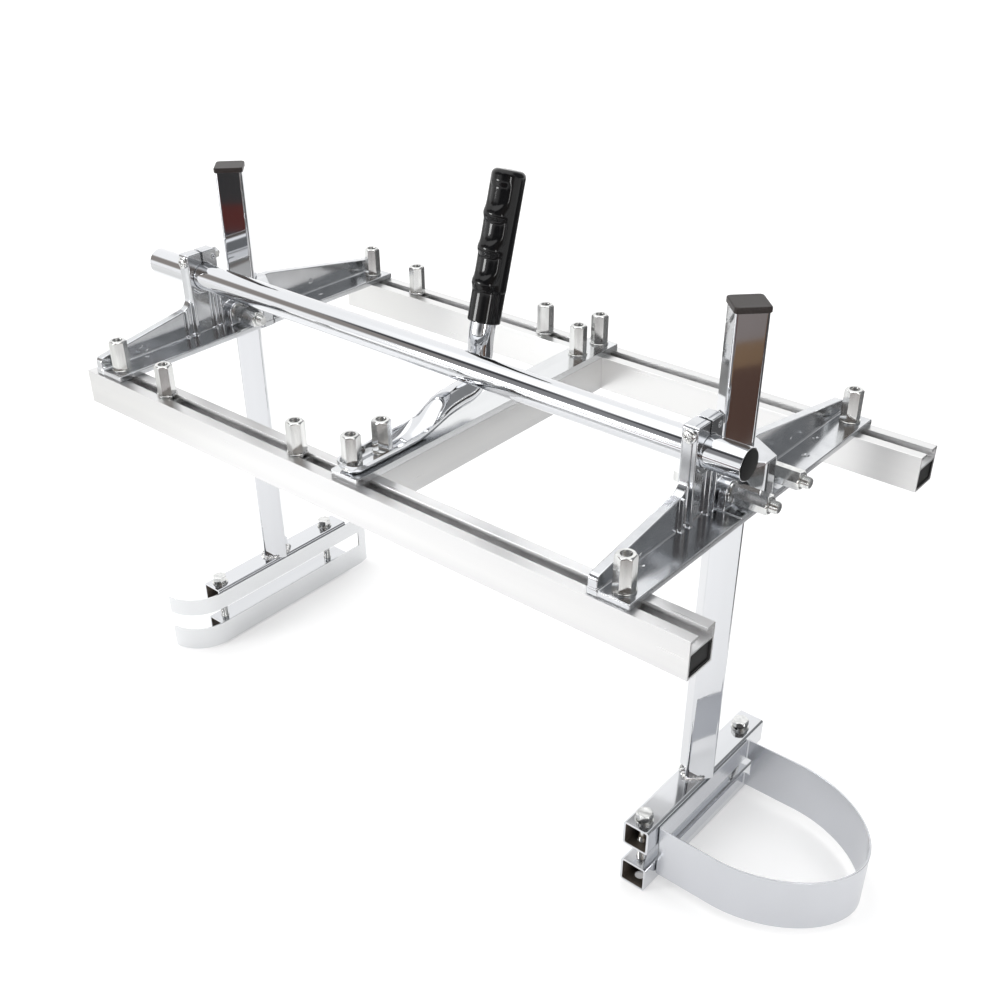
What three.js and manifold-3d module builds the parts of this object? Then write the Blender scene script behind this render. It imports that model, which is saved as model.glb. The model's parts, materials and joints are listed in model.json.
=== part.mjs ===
// Chainsaw mill: two slotted rails joined by cast end brackets, with a push tube and a handle on top
// and two height posts below that clamp the saw's guide bar between pairs of square jaws.
// Lengths are in millimetres. X runs along the rails, Y from the front rail to the rear one, Z is up.
// Pieces are drawn from the front rail's left end, front face and top, then moved to the part's origin.
import * as THREE from 'three';
import { mergeVertices } from 'three/addons/utils/BufferGeometryUtils.js';
import Module from 'manifold-3d';

const wasm = await Module();
wasm.setup();

// Clearances, and how far a cutter runs past what it cuts
const slideGap = 0.1;
const holeGap = 0.3;
const overrun = 3;

// Slotted rails
const railLength = 665;
const railWidth = 30;
const railHeight = 32;
const railWall = 1.6;
const slotWidth = 10.2;
const slotLip = 2.6;
const slotDepth = 10.4;
const frameWidth = 358.9;
const rearRailShift = 9;

// End brackets, from their left face and mid length
const leftBracketX = 12.8;
const rightBracketInset = 85.1;
const bracketEndInset = 1.3;
const bracketShift = 1.05;
const flangeWidth = 36.1;
const flangeThickness = 5.5;
const webInset = 1;
const webThickness = 8;
const webEndHeight = 16;
const webEndRadius = 4;
const webMidHeight = 41;
const webMidHalf = 30;
const towerWidth = 34.4;
const towerDepth = 13.2;
const towerHeight = 85.4;
const bracketNutX = 22.5;

// Push tube and its clamp screws
const pushTubeDiameter = 25.4;
const pushTubeWall = 2;
const pushTubeOverhang = 55.9;
const pushTubeReach = 45.4;
const pushTubeHeight = 61.7;
const pushTubeOffset = 53;
const pinchHeight = 78.2;
const pinchDiameter = 6;

// Height posts and the bars that clamp them
const postSide = 25.4;
const postWall = 2;
const postOffset = 3.5;
const postDrop = 284.7;
const postRise = 152.8;
const clampStudDiameter = 10;
const clampStudSpread = 23.7;
const clampStudHeight = 18;

// Bar clamps
const jawSide = 25.4;
const jawWall = 2;
const jawLength = 191.2;
const jawShift = 1.35;
const barGap = 18.8;
const jawBoltDiameter = 8;
const jawBoltFrontInset = 12.2;
const jawBoltRearInset = 21.5;

// Nose guard and skid plate
const sheetThickness = 1.5;
const guardWidth = 146.5;
const guardShift = 2.8;
const guardHeight = 60.4;
const guardLeg = 76.9;
const skidHeight = 65;
const skidLength = 222;
const skidBendRadius = 42;

// Cross beam with its plate, and the handle
const crossX = 341.8;
const plateWidth = 30;
const plateThickness = 6;
const plateEndInset = 4.45;
const handleDiameter = 22.2;
const gripLength = 123.5;
const gripDiameter = 28.6;

// Long nuts
const nutFlats = 17;
const nutLength = 30;
const slotStudDiameter = 9.8;
const freeNutLeftX = 102;
const freeNutRightX = 276.3;

const xAxis = new THREE.Vector3(1, 0, 0);
const yAxis = new THREE.Vector3(0, 1, 0);
const zAxis = new THREE.Vector3(0, 0, 1);

const pushTubeRadius = pushTubeDiameter / 2;
const rightBracketX = railLength - rightBracketInset;
const bracketLength = frameWidth - 2 * bracketEndInset;
const bracketMidY = frameWidth / 2 + bracketShift;
const pushTubeY = bracketMidY - pushTubeOffset;
const pushTubeStart = leftBracketX - pushTubeOverhang;
const pushTubeEnd = rightBracketX + pushTubeReach;
const plateLength = frameWidth - 2 * plateEndInset;
const frontSlotY = railWidth / 2;
const rearSlotY = frameWidth - railWidth / 2;
const upperJawTop = -postDrop;
const upperJawBottom = upperJawTop - jawSide;
const lowerJawTop = upperJawBottom - barGap;
const lowerJawBottom = lowerJawTop - jawSide;
const jawMidY = bracketMidY + jawShift;
const leftPostX = leftBracketX + postOffset;
const rightPostX = rightBracketX + postOffset;
const guardFaceX = rightPostX + jawSide / 2 + slideGap;
const guardNoseX = guardFaceX + guardLeg + guardWidth / 2;

// Plug flange at the ends of the push tube
const tubePlugFlange = 2.4;

// The part's origin: under the middle of its bounding box
const originX = (pushTubeStart - tubePlugFlange + guardNoseX) / 2;
const originY = frameWidth / 2;
const originZ = lowerJawBottom;

// Makes a closed solid from a geometry, turned right side out.
function solid(geometry) {
  geometry.deleteAttribute('normal');
  geometry.deleteAttribute('uv');
  const merged = mergeVertices(geometry);
  const position = merged.getAttribute('position').array;
  const index = Uint32Array.from(merged.index.array);
  const corners = [new THREE.Vector3(), new THREE.Vector3(), new THREE.Vector3()];
  let volume = 0;
  for (let i = 0; i < index.length; i += 3) {
    corners.forEach((corner, k) => corner.fromArray(position, index[i + k] * 3));
    volume += corners[0].dot(corners[1].clone().cross(corners[2]));
  }
  if (volume < 0) index.reverse();
  const vertProperties = Float32Array.from(position);
  return new wasm.Manifold(new wasm.Mesh({ numProp: 3, vertProperties, triVerts: index }));
}

// Sweeps a closed outline along an axis. Outlines are (y, z) along X, (x, z) along Y and (x, y) along Z.
function prism(axis, outline, from, to, holes = []) {
  const shape = new THREE.Shape(outline.map(([a, b]) => new THREE.Vector2(a, b)));
  for (const hole of holes) {
    shape.holes.push(new THREE.Path(hole.map(([a, b]) => new THREE.Vector2(a, b))));
  }
  const geometry = new THREE.ExtrudeGeometry(shape, { depth: to - from, bevelEnabled: false });
  const place = new THREE.Matrix4();
  if (axis === 'x') {
    place.makeBasis(yAxis, zAxis, xAxis).setPosition(from, 0, 0);
  } else if (axis === 'y') {
    place.makeBasis(xAxis, zAxis, yAxis.clone().negate()).setPosition(0, to, 0);
  } else {
    place.makeBasis(xAxis, yAxis, zAxis).setPosition(0, 0, from);
  }
  return solid(geometry.applyMatrix4(place));
}

// Turns a profile of [radius, distance along the axis] around an axis through a centre.
function turned(axis, profile, centre, segments) {
  const points = profile.map(([radius, along]) => new THREE.Vector2(radius, along));
  const geometry = new THREE.LatheGeometry(points, segments);
  if (axis === 'x') geometry.rotateZ(-Math.PI / 2);
  if (axis === 'z') geometry.rotateX(Math.PI / 2);
  geometry.translate(...centre);
  return solid(geometry);
}

// Round bar along an axis, between two distances from its centre.
function bar(axis, radius, from, to, centre, segments = 16) {
  return turned(axis, [[0, from], [radius, from], [radius, to], [0, to]], centre, segments);
}

// Radius of a many-sided hole whose flats still clear a round bar.
function around(radius, sides) {
  return radius / Math.cos(Math.PI / sides);
}

// Cutter for a round hole.
function drill(axis, radius, from, to, centre, sides = 12) {
  return bar(axis, around(radius, sides), from, to, centre, sides);
}

function block([x0, x1], [y0, y1], [z0, z1]) {
  return prism('z', [[x0, y0], [x1, y0], [x1, y1], [x0, y1]], z0, z1);
}

function rectangle(a0, a1, b0, b1) {
  return [[a0, b0], [a1, b0], [a1, b1], [a0, b1]];
}

// Rounds the corners of an outline. Each point may carry its own radius as a third value.
function rounded(points, radius, steps = 3) {
  const result = [];
  points.forEach(([a, b, own], i) => {
    const corner = new THREE.Vector2(a, b);
    const before = new THREE.Vector2(...points[(i + points.length - 1) % points.length]);
    const after = new THREE.Vector2(...points[(i + 1) % points.length]);
    const r = own === undefined ? radius : own;
    if (r <= 0) {
      result.push([a, b]);
      return;
    }
    const u = before.sub(corner).normalize();
    const v = after.sub(corner).normalize();
    const half = Math.acos(THREE.MathUtils.clamp(u.dot(v), -1, 1)) / 2;
    const centre = corner.clone().addScaledVector(u.clone().add(v).normalize(), r / Math.sin(half));
    const start = corner.clone().addScaledVector(u, r / Math.tan(half)).sub(centre);
    const end = corner.clone().addScaledVector(v, r / Math.tan(half)).sub(centre);
    const turn = Math.atan2(start.cross(end), start.dot(end));
    for (let k = 0; k <= steps; k += 1) {
      const p = start.clone().rotateAround(new THREE.Vector2(), (turn * k) / steps).add(centre);
      result.push([p.x, p.y]);
    }
  });
  return result;
}

function circle([a, b], radius, segments = 32) {
  return Array.from({ length: segments }, (_, i) => {
    const angle = (2 * Math.PI * i) / segments;
    return [a + radius * Math.cos(angle), b + radius * Math.sin(angle)];
  });
}

// Hexagon outline with two of its flats square to the first direction of the outline.
function hexagon(centre, flats) {
  const corner = flats / 2 / Math.cos(Math.PI / 6);
  return circle([0, 0], corner, 6).map(([a, b]) => {
    const p = new THREE.Vector2(a, b).rotateAround(new THREE.Vector2(), Math.PI / 6);
    return [centre[0] + p.x, centre[1] + p.y];
  });
}

const group = new THREE.Group();
group.name = 'chainsaw_mill';

const finishes = {
  rail: { color: 0xd9dcde, roughness: 0.45, metalness: 0.9 },
  cast: { color: 0xb9bec4, roughness: 0.2, metalness: 1 },
  chrome: { color: 0xd4d7da, roughness: 0.08, metalness: 1 },
  zinc: { color: 0xc6cac6, roughness: 0.35, metalness: 1 },
  sheet: { color: 0xb4b9c0, roughness: 0.4, metalness: 1 },
  black: { color: 0x141415, roughness: 0.55, metalness: 0 },
  gloss: { color: 0x0b0b0c, roughness: 0.15, metalness: 0 },
  cap: { color: 0x3a3634, roughness: 0.5, metalness: 0 },
};

function addPart(name, body, finish) {
  const mesh = body.getMesh();
  const geometry = new THREE.BufferGeometry();
  geometry.setAttribute('position', new THREE.BufferAttribute(Float32Array.from(mesh.vertProperties), 3));
  geometry.setIndex(new THREE.BufferAttribute(Uint32Array.from(mesh.triVerts), 1));
  geometry.translate(-originX, -originY, -originZ);
  const flat = geometry.toNonIndexed();
  flat.computeVertexNormals();
  const part = new THREE.Mesh(flat, new THREE.MeshStandardMaterial(finishes[finish]));
  part.name = name;
  group.add(part);
}

// Extruded rail section from its own left edge: a slot for bolt heads over a closed chamber.
const chamberTop = -slotDepth - railWall;

function railSection(left) {
  const slotLeft = left + (railWidth - slotWidth) / 2;
  const slotRight = left + (railWidth + slotWidth) / 2;
  const right = left + railWidth;
  return [
    [left, 0], [slotLeft, 0], [slotLeft, -slotLip], [left + railWall, -slotLip],
    [left + railWall, -slotDepth], [right - railWall, -slotDepth], [right - railWall, -slotLip],
    [slotRight, -slotLip], [slotRight, 0], [right, 0], [right, -railHeight], [left, -railHeight],
  ];
}

function railChamber(left, gap) {
  const low = -railHeight + railWall + gap;
  return rectangle(left + railWall + gap, left + railWidth - railWall - gap, low, chamberTop - gap);
}

function rail(startX, frontY) {
  return prism('x', railSection(frontY), startX, startX + railLength, [railChamber(frontY, 0)]);
}

// Plastic plug in the closed chamber: a cup with its face just inside the rail's end.
const railPlugDepth = 12;
const railPlugWall = 2;
const railPlugInset = 0.4;

function railPlug(endX, inward, frontY) {
  const face = endX + inward * railPlugInset;
  const back = face + inward * railPlugDepth;
  const hollow = face + inward * railPlugWall;
  const far = back + inward * overrun;
  const body = prism('x', railChamber(frontY, slideGap), Math.min(face, back), Math.max(face, back));
  const inside = railChamber(frontY, slideGap + railPlugWall);
  return body.subtract(prism('x', inside, Math.min(hollow, far), Math.max(hollow, far)));
}

// Cast end bracket. Its long flange lies across both rails, a tapered web stands on the flange's left
// edge, a split tower clamps the push tube and a V pocket between two stud bosses takes the post.
const webFillet = 3;
const castRadius = 1.5;
const towerTopRadius = 2.5;
const towerSplit = 2.2;
const towerFlare = 9;
const towerRing = 4;
const ribFront = 5.2;
const ribRear = 3.2;
const ribMid = 3;
const ribSpace = 3.4;
const bossRadius = 10;
const bossFace = 20;
const spotRadius = 10.8;
const pocketTop = 41.5;
const pocketNose = 37.3;
const pocketNoseHalf = 7.2;
const pocketRootX = 11.5;
const pocketRootHalf = 23.4;
const lugMarkRadius = 2;
const lugMarkDepth = 1.6;
const lugMarkSet = 4.6;

// Side view of the web: low and rounded at both ends, level over the pocket.
function webOutline() {
  const half = bracketLength / 2;
  return rounded([
    [bracketMidY - half, 0, 0], [bracketMidY + half, 0, 0], [bracketMidY + half, webEndHeight],
    [bracketMidY + webMidHalf, webMidHeight, 0], [bracketMidY - webMidHalf, webMidHeight, 0],
    [bracketMidY - half, webEndHeight],
  ], webEndRadius);
}

function bracketShell(x) {
  const web = x + webInset;
  const right = web + webThickness;
  const section = rounded([
    [x, 0, 0], [x + flangeWidth, 0, 0], [x + flangeWidth, flangeThickness, castRadius],
    [right, flangeThickness, webFillet], [right, webMidHeight, castRadius], [web, webMidHeight, castRadius],
    [web, flangeThickness, 0], [x, flangeThickness, 0],
  ], castRadius);
  const half = bracketLength / 2;
  const blank = prism('y', section, bracketMidY - half, bracketMidY + half);
  const side = prism('x', webOutline(), x - overrun, x + flangeWidth + overrun);
  const plan = rounded(rectangle(x, x + flangeWidth, bracketMidY - half, bracketMidY + half), castRadius);
  return blank.intersect(side).intersect(prism('z', plan, -overrun, webMidHeight + overrun));
}

function clampTower(x) {
  const front = pushTubeY - towerWidth / 2;
  const back = pushTubeY + towerWidth / 2;
  const tower = prism('x', rounded([
    [front, 0, 0], [back, 0, 0], [back, towerHeight, towerTopRadius], [front, towerHeight, towerTopRadius],
  ], towerTopRadius), x, x + towerDepth);
  const ring = pushTubeRadius + towerRing;
  const ribs = [
    [front + ribFront, back - ribRear - ribSpace - ribMid],
    [back - ribRear - ribSpace, back - ribRear],
  ];
  const faceX = x + webInset + webThickness;
  const keep = bar('x', ring, x - overrun, x + towerDepth + overrun, [0, pushTubeY, pushTubeHeight], 32);
  const recesses = ribs.map(([y0, y1]) => block(
    [faceX, x + towerDepth + overrun],
    [y0, y1],
    [flangeThickness, pushTubeHeight - pushTubeRadius / 2],
  ).subtract(keep));
  const slope = (webMidHeight - webEndHeight) / (bracketLength / 2 - webMidHalf);
  const topAt = (y) => webMidHeight - slope * (Math.abs(y - bracketMidY) - webMidHalf);
  const flare = prism('x', [
    [front + towerFlare, topAt(front)], [front - towerFlare, topAt(front - towerFlare) - castRadius],
    [front - towerFlare, topAt(front - towerFlare)],
    [front - towerFlare / 4, topAt(front) + towerFlare / 4], [front, topAt(front) + towerFlare],
    [front + towerFlare, topAt(front) + towerFlare],
  ], x + webInset, faceX);
  return recesses.reduce((body, recess) => body.subtract(recess), tower).add(flare);
}

function studBoss(x, y) {
  const outline = [[y + bossRadius, 0], [y + bossRadius, clampStudHeight]];
  for (let k = 1; k < 10; k += 1) {
    const angle = (Math.PI * k) / 10;
    outline.push([y + bossRadius * Math.cos(angle), clampStudHeight + bossRadius * Math.sin(angle)]);
  }
  outline.push([y - bossRadius, clampStudHeight], [y - bossRadius, 0]);
  return prism('x', outline, x + webInset, x + bossFace);
}

function bracket(x) {
  const studYs = [bracketMidY - clampStudSpread, bracketMidY + clampStudSpread];
  const postX = x + postOffset;
  const corner = postSide / Math.SQRT2 + holeGap;
  const nose = prism('z', rounded([
    [x + webInset, bracketMidY - pocketRootHalf, 0], [x + pocketRootX, bracketMidY - pocketRootHalf, 0],
    [x + pocketNose, bracketMidY - pocketNoseHalf], [x + pocketNose, bracketMidY + pocketNoseHalf],
    [x + pocketRootX, bracketMidY + pocketRootHalf, 0], [x + webInset, bracketMidY + pocketRootHalf, 0],
  ], castRadius), 0, pocketTop);
  let body = bracketShell(x).add(clampTower(x));
  const spots = studYs.map((y) => (
    drill('x', spotRadius, x + bossFace, x + pocketNose + overrun, [0, y, clampStudHeight])
  ));
  body = body.add(spots.reduce((piece, spot) => piece.subtract(spot), nose));
  for (const y of studYs) body = body.add(studBoss(x, y));
  const pocket = prism('z', [
    [postX + corner, bracketMidY], [x - overrun, bracketMidY + postOffset + corner + overrun],
    [x - overrun, bracketMidY - postOffset - corner - overrun],
  ], -overrun, pocketTop + overrun);
  body = body.subtract(pocket);
  for (const y of studYs) {
    const hole = clampStudDiameter / 2 + holeGap;
    body = body.subtract(drill('x', hole, x - overrun, x + bossFace + overrun, [0, y, clampStudHeight]));
  }
  for (const y of [frontSlotY, rearSlotY]) {
    const hole = slotStudDiameter / 2 + holeGap;
    const at = [x + bracketNutX, y, 0];
    body = body.subtract(drill('z', hole, -overrun, flangeThickness + overrun, at));
  }
  const right = x + towerDepth;
  const boreAt = [0, pushTubeY, pushTubeHeight];
  body = body.subtract(drill('x', pushTubeRadius + slideGap, x - overrun, right + overrun, boreAt, 32));
  body = body.subtract(block(
    [x - overrun, right + overrun],
    [pushTubeY - towerSplit / 2, pushTubeY + towerSplit / 2],
    [pushTubeHeight, towerHeight + overrun],
  ));
  const screwAt = [x + towerDepth / 2, pushTubeY, pinchHeight];
  const screwReach = towerWidth / 2 + overrun;
  body = body.subtract(drill('y', pinchDiameter / 2 + holeGap, -screwReach, screwReach, screwAt, 16));
  const markY = pushTubeY + towerWidth / 2 - lugMarkSet;
  const mark = drill('x', lugMarkRadius, right - lugMarkDepth, right + overrun, [0, markY, pinchHeight], 16);
  return body.subtract(mark);
}

// Push tube and the plastic plugs in its ends
const tubePlugDepth = 14;
const tubePlugEdge = 0.8;

function pushTube() {
  const at = [pushTubeY, pushTubeHeight];
  const inner = circle(at, around(pushTubeRadius - pushTubeWall, 32));
  return prism('x', circle(at, pushTubeRadius), pushTubeStart, pushTubeEnd, [inner]);
}

function tubePlug(endX, inward) {
  const insert = pushTubeRadius - pushTubeWall - slideGap;
  const profile = [
    [0, inward * tubePlugDepth], [insert, inward * tubePlugDepth], [insert, 0], [pushTubeRadius, 0],
    [pushTubeRadius, -inward * (tubePlugFlange - tubePlugEdge)],
    [pushTubeRadius - tubePlugEdge, -inward * tubePlugFlange], [0, -inward * tubePlugFlange],
  ];
  return turned('x', profile, [endX, pushTubeY, pushTubeHeight], 24);
}

// Screw that closes a tower's split, and its nut
const pinchHeadRadius = 5.6;
const pinchHeadHeight = 3.6;
const pinchHeadEdge = 1.1;
const pinchNutFlats = 10;
const pinchNutHeight = 5;
const pinchTip = 2.5;

function pinchScrew(x) {
  const front = -towerWidth / 2;
  const tip = towerWidth / 2 + pinchNutHeight + pinchTip;
  const shank = pinchDiameter / 2;
  const profile = [
    [0, tip], [shank, tip], [shank, front], [pinchHeadRadius, front],
    [pinchHeadRadius, front - pinchHeadEdge], [pinchHeadRadius - pinchHeadEdge, front - pinchHeadHeight],
    [0, front - pinchHeadHeight],
  ];
  return turned('y', profile, [x + towerDepth / 2, pushTubeY, pinchHeight], 16);
}

function pinchNut(x) {
  const face = pushTubeY + towerWidth / 2;
  const at = [x + towerDepth / 2, pinchHeight];
  const bore = circle(at, around(pinchDiameter / 2 + slideGap, 12), 12);
  return prism('y', hexagon(at, pinchNutFlats), face, face + pinchNutHeight, [bore]);
}

// Height post: square tube standing cornerwise, and its push-on cap
const postCorner = 2;
const capWall = 0.9;
const capDepth = 8;
const capTop = 2.6;
const capEdge = 0.8;

// Square outline around a centre, turned to stand on its corner.
function diamond([a, b], side, corner) {
  const h = side / 2;
  return rounded([[-h, -h], [h, -h], [h, h], [-h, h]], corner, 3).map(([u, v]) => (
    [a + (u - v) / Math.SQRT2, b + (u + v) / Math.SQRT2]
  ));
}

function post(x) {
  const at = [x, bracketMidY];
  const inner = diamond(at, postSide - 2 * postWall, postCorner / 2);
  return prism('z', diamond(at, postSide, postCorner), -postDrop, postRise, [inner]);
}

function postCap(x) {
  const at = [x, bracketMidY];
  const outer = postSide + 2 * capWall + 2 * slideGap;
  const edge = postRise + capTop - capEdge;
  const skirt = prism('z', diamond(at, outer, postCorner + capWall), postRise - capDepth, edge);
  const lid = prism('z', diamond(at, outer - capEdge, postCorner), postRise, postRise + capTop);
  const hollow = diamond(at, postSide + 2 * slideGap, postCorner);
  return skirt.add(lid).subtract(prism('z', hollow, postRise - capDepth - overrun, postRise));
}

// Bar with a V notch that two studs pull against the post's free corner
const postClampLength = 68;
const postClampDepth = 17.5;
const postClampHeight = 32;
const postClampSet = 4;
const postClampEdge = 1.5;

function postClamp(x) {
  const right = x - postClampSet;
  const left = right - postClampDepth;
  const half = postClampLength / 2;
  const corner = postSide / Math.SQRT2 + holeGap;
  const notch = right - (x + postOffset - corner);
  const plan = [
    [left, bracketMidY - half, postClampEdge], [right, bracketMidY - half, postClampEdge],
    [right, bracketMidY - notch, 0], [right - notch, bracketMidY, 0], [right, bracketMidY + notch, 0],
    [right, bracketMidY + half, postClampEdge], [left, bracketMidY + half, postClampEdge],
  ];
  const low = clampStudHeight - postClampHeight / 2;
  let body = prism('z', rounded(plan, postClampEdge, 2), low, low + postClampHeight);
  for (const y of [bracketMidY - clampStudSpread, bracketMidY + clampStudSpread]) {
    const hole = clampStudDiameter / 2 + holeGap;
    body = body.subtract(drill('x', hole, left - overrun, right + overrun, [0, y, clampStudHeight], 12));
  }
  return body;
}

// Clamp stud with a hexagon head behind the bar, and the long nut with its washer on the boss
const studHeadHeight = 6.4;
const studTipLength = 6.6;
const studTipEdge = 1;
const washerRadius = 10;
const washerThickness = 2;
const nutChamfer = 1.2;

function clampStud(x, y) {
  const left = x - postClampSet - postClampDepth;
  const tip = x + bossFace + washerThickness + nutLength + studTipLength;
  const r = clampStudDiameter / 2;
  const profile = [
    [0, left - slideGap], [r, left - slideGap], [r, tip - studTipEdge], [r - studTipEdge, tip], [0, tip],
  ];
  const head = prism('x', hexagon([y, clampStudHeight], nutFlats), left - studHeadHeight, left);
  return turned('x', profile, [0, y, clampStudHeight], 12).add(head);
}

// Long hexagon nut on its washer, along an axis from its seat, with chamfered corners at its far end.
function longNut(axis, at, seat) {
  const top = seat + washerThickness + nutLength;
  const centre = axis === 'x' ? [0, at[0], at[1]] : [at[0], at[1], 0];
  const wide = nutFlats / 2 / Math.cos(Math.PI / 6);
  const body = prism(axis, hexagon(at, nutFlats), seat + washerThickness / 2, top);
  const envelope = turned(axis, [
    [0, seat], [washerRadius + overrun, seat], [washerRadius + overrun, top - 2 * nutChamfer],
    [wide + nutChamfer, top - 2 * nutChamfer], [wide - nutChamfer, top], [0, top],
  ], centre, 12);
  return body.intersect(envelope).add(bar(axis, washerRadius, seat, seat + washerThickness, centre));
}

function clampNut(x, y) {
  const at = [y, clampStudHeight];
  const seat = x + bossFace;
  const bore = clampStudDiameter / 2 + slideGap;
  const end = seat + washerThickness + nutLength + overrun;
  return longNut('x', at, seat).subtract(drill('x', bore, seat - overrun, end, [0, ...at], 12));
}

// T bolt in a rail's slot with the washer and long nut on it. Nothing passes the nut's blind upper half.
const boltHeadSide = 19;
const boltHeadHeight = 6.2;
const nutBoreRadius = 4.6;
const nutBoreDepth = 15;

function slotNut(x, y, seat) {
  const head = -slotLip - slideGap;
  const half = boltHeadSide / 2;
  const top = seat + washerThickness + nutLength;
  const bolt = block([x - half, x + half], [y - half, y + half], [head - boltHeadHeight, head]);
  const stud = bar('z', slotStudDiameter / 2, head - boltHeadHeight / 2, seat + nutLength / 2, [x, y, 0], 12);
  const bore = drill('z', nutBoreRadius, top - nutBoreDepth, top + overrun, [x, y, 0], 12);
  return longNut('z', [x, y], seat).add(stud).add(bolt).subtract(bore);
}

// Square jaw tube along Y, with holes for its bolts
const jawCorner = 2.5;
const jawHoleGap = 0.4;
const jawBoltYs = [
  jawMidY - jawLength / 2 + jawBoltFrontInset,
  jawMidY + jawLength / 2 - jawBoltRearInset,
];

function jaw(x, bottom) {
  const h = jawSide / 2;
  const outer = rounded(rectangle(x - h, x + h, bottom, bottom + jawSide), jawCorner, 3);
  const w = h - jawWall;
  const low = bottom + jawWall;
  const inner = rounded(rectangle(x - w, x + w, low, low + 2 * w), jawCorner - jawWall / 2, 3);
  let body = prism('y', outer, jawMidY - jawLength / 2, jawMidY + jawLength / 2, [inner]);
  for (const y of jawBoltYs) {
    const hole = jawBoltDiameter / 2 + jawHoleGap;
    body = body.subtract(drill('z', hole, bottom - overrun, bottom + jawSide + overrun, [x, y, 0], 12));
  }
  return body;
}

// Jaw bolt with its spring washer and flat washer, and the nut held inside the lower jaw
const jawBoltLength = 60;
const jawHeadFlats = 13;
const jawHeadHeight = 5.3;
const springWasherRadius = 7;
const springWasherThickness = 2;
const flatWasherRadius = 8.4;
const flatWasherThickness = 1.6;
const jawNutHeight = 6.5;

function jawBolt(x, y) {
  const seat = upperJawTop;
  const spring = seat + flatWasherThickness;
  const under = spring + springWasherThickness;
  const shank = jawBoltDiameter / 2;
  const profile = [
    [0, under - jawBoltLength], [shank, under - jawBoltLength], [shank, seat],
    [flatWasherRadius, seat], [flatWasherRadius, spring], [springWasherRadius, spring],
    [springWasherRadius, under], [0, under],
  ];
  const sunk = under - flatWasherThickness / 2;
  const head = prism('z', hexagon([x, y], jawHeadFlats), sunk, under + jawHeadHeight);
  return turned('z', profile, [x, y, 0], 12).add(head);
}

function jawNut(x, y) {
  const top = lowerJawTop - jawWall;
  const bore = circle([x, y], around(jawBoltDiameter / 2 + slideGap, 12), 12);
  return prism('z', hexagon([x, y], jawHeadFlats), top - jawNutHeight, top, [bore]);
}

// Nose guard: a strap of sheet bent into a D, slotted where the guide bar comes through
const guardDrop = 6.9;
const guardTop = upperJawTop - guardDrop;
const guardBend = 3;
const guardSlotInset = 8;
const guardSlotWrap = 7;

// Outline of the D, drawn in from its outer face by a wall.
function guardOutline(wall) {
  const mid = bracketMidY - guardShift;
  const half = guardWidth / 2 - wall;
  const left = guardFaceX + wall;
  const bend = guardBend - wall;
  const arc = [];
  for (let k = 0; k <= 28; k += 1) {
    const angle = (Math.PI * k) / 28 - Math.PI / 2;
    arc.push([guardFaceX + guardLeg + half * Math.cos(angle), mid + half * Math.sin(angle), 0]);
  }
  return rounded([[left, mid + half, bend], [left, mid - half, bend], ...arc], 0, 3);
}

function noseGuard() {
  const low = guardTop - guardHeight;
  const strap = prism('z', guardOutline(0), low, guardTop, [guardOutline(sheetThickness)]);
  const mid = bracketMidY - guardShift;
  const slot = block(
    [guardFaceX - overrun, guardFaceX + guardSlotWrap],
    [mid - guardWidth / 2 + guardSlotInset, mid + guardWidth / 2 + overrun],
    [lowerJawTop, upperJawBottom],
  );
  return strap.subtract(slot);
}

// Skid plate: flat sheet on the left jaws with its near end curled back and a slot for the guide bar
const skidDrop = 3.3;
const skidOverhang = 32.5;
const skidKick = 3;
const skidKickLength = 12;
const skidSlotRise = 2.5;
const skidSlotInset = 14;
const skidChamfer = 19;
const skidCurlAngle = THREE.MathUtils.degToRad(86);
const skidTop = upperJawTop - skidDrop;
const skidFarY = jawMidY + jawLength / 2 + skidOverhang;

function skidPlate() {
  const inner = leftPostX + jawSide / 2 + slideGap;
  const outer = inner + sheetThickness;
  const bendY = skidFarY - skidLength;
  const centre = [outer - skidBendRadius, bendY];
  const arc = (radius) => Array.from({ length: 13 }, (_, k) => {
    const angle = (-skidCurlAngle * k) / 12;
    return [centre[0] + radius * Math.cos(angle), centre[1] + radius * Math.sin(angle)];
  });
  const plan = [
    [outer - skidKick, skidFarY], [outer, skidFarY - skidKickLength], ...arc(skidBendRadius),
    ...arc(skidBendRadius - sheetThickness).reverse(),
    [inner, skidFarY - skidKickLength], [inner - skidKick, skidFarY],
  ];
  const low = skidTop - skidHeight;
  const sheet = prism('z', plan, low, skidTop);
  const nearY = bendY - skidBendRadius - overrun;
  const slot = block(
    [centre[0] - skidBendRadius, outer + overrun],
    [nearY, skidFarY - skidSlotInset],
    [lowerJawTop + skidSlotRise, upperJawBottom + skidSlotRise],
  );
  const corner = prism('x', [
    [skidFarY - skidChamfer, skidTop], [skidFarY + overrun, skidTop - skidChamfer - overrun],
    [skidFarY + overrun, skidTop],
  ], inner - skidBendRadius, outer + overrun);
  return sheet.subtract(slot).subtract(corner);
}

// Cross beam between the rails, and the flat plate that ties it to them
function crossBeam() {
  const left = crossX - railWidth / 2;
  const from = railWidth + slideGap;
  return prism('y', railSection(left), from, frameWidth - from, [railChamber(left, 0)]);
}

// The four bolts of the cross plate: through both rails, and twice through the beam
const plateTop = slideGap + plateThickness;
const plateNutPitch = 34;
const plateNutYs = [frontSlotY, frontSlotY + plateNutPitch, rearSlotY - plateNutPitch, rearSlotY];

function crossPlate() {
  const middle = frameWidth / 2;
  const plan = rounded(rectangle(
    crossX - plateWidth / 2,
    crossX + plateWidth / 2,
    middle - plateLength / 2,
    middle + plateLength / 2,
  ), castRadius, 2);
  const holes = plateNutYs.map((y) => circle([crossX, y], around(slotStudDiameter / 2 + holeGap, 12), 12));
  return prism('z', plan, slideGap, slideGap + plateThickness, holes);
}

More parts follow.
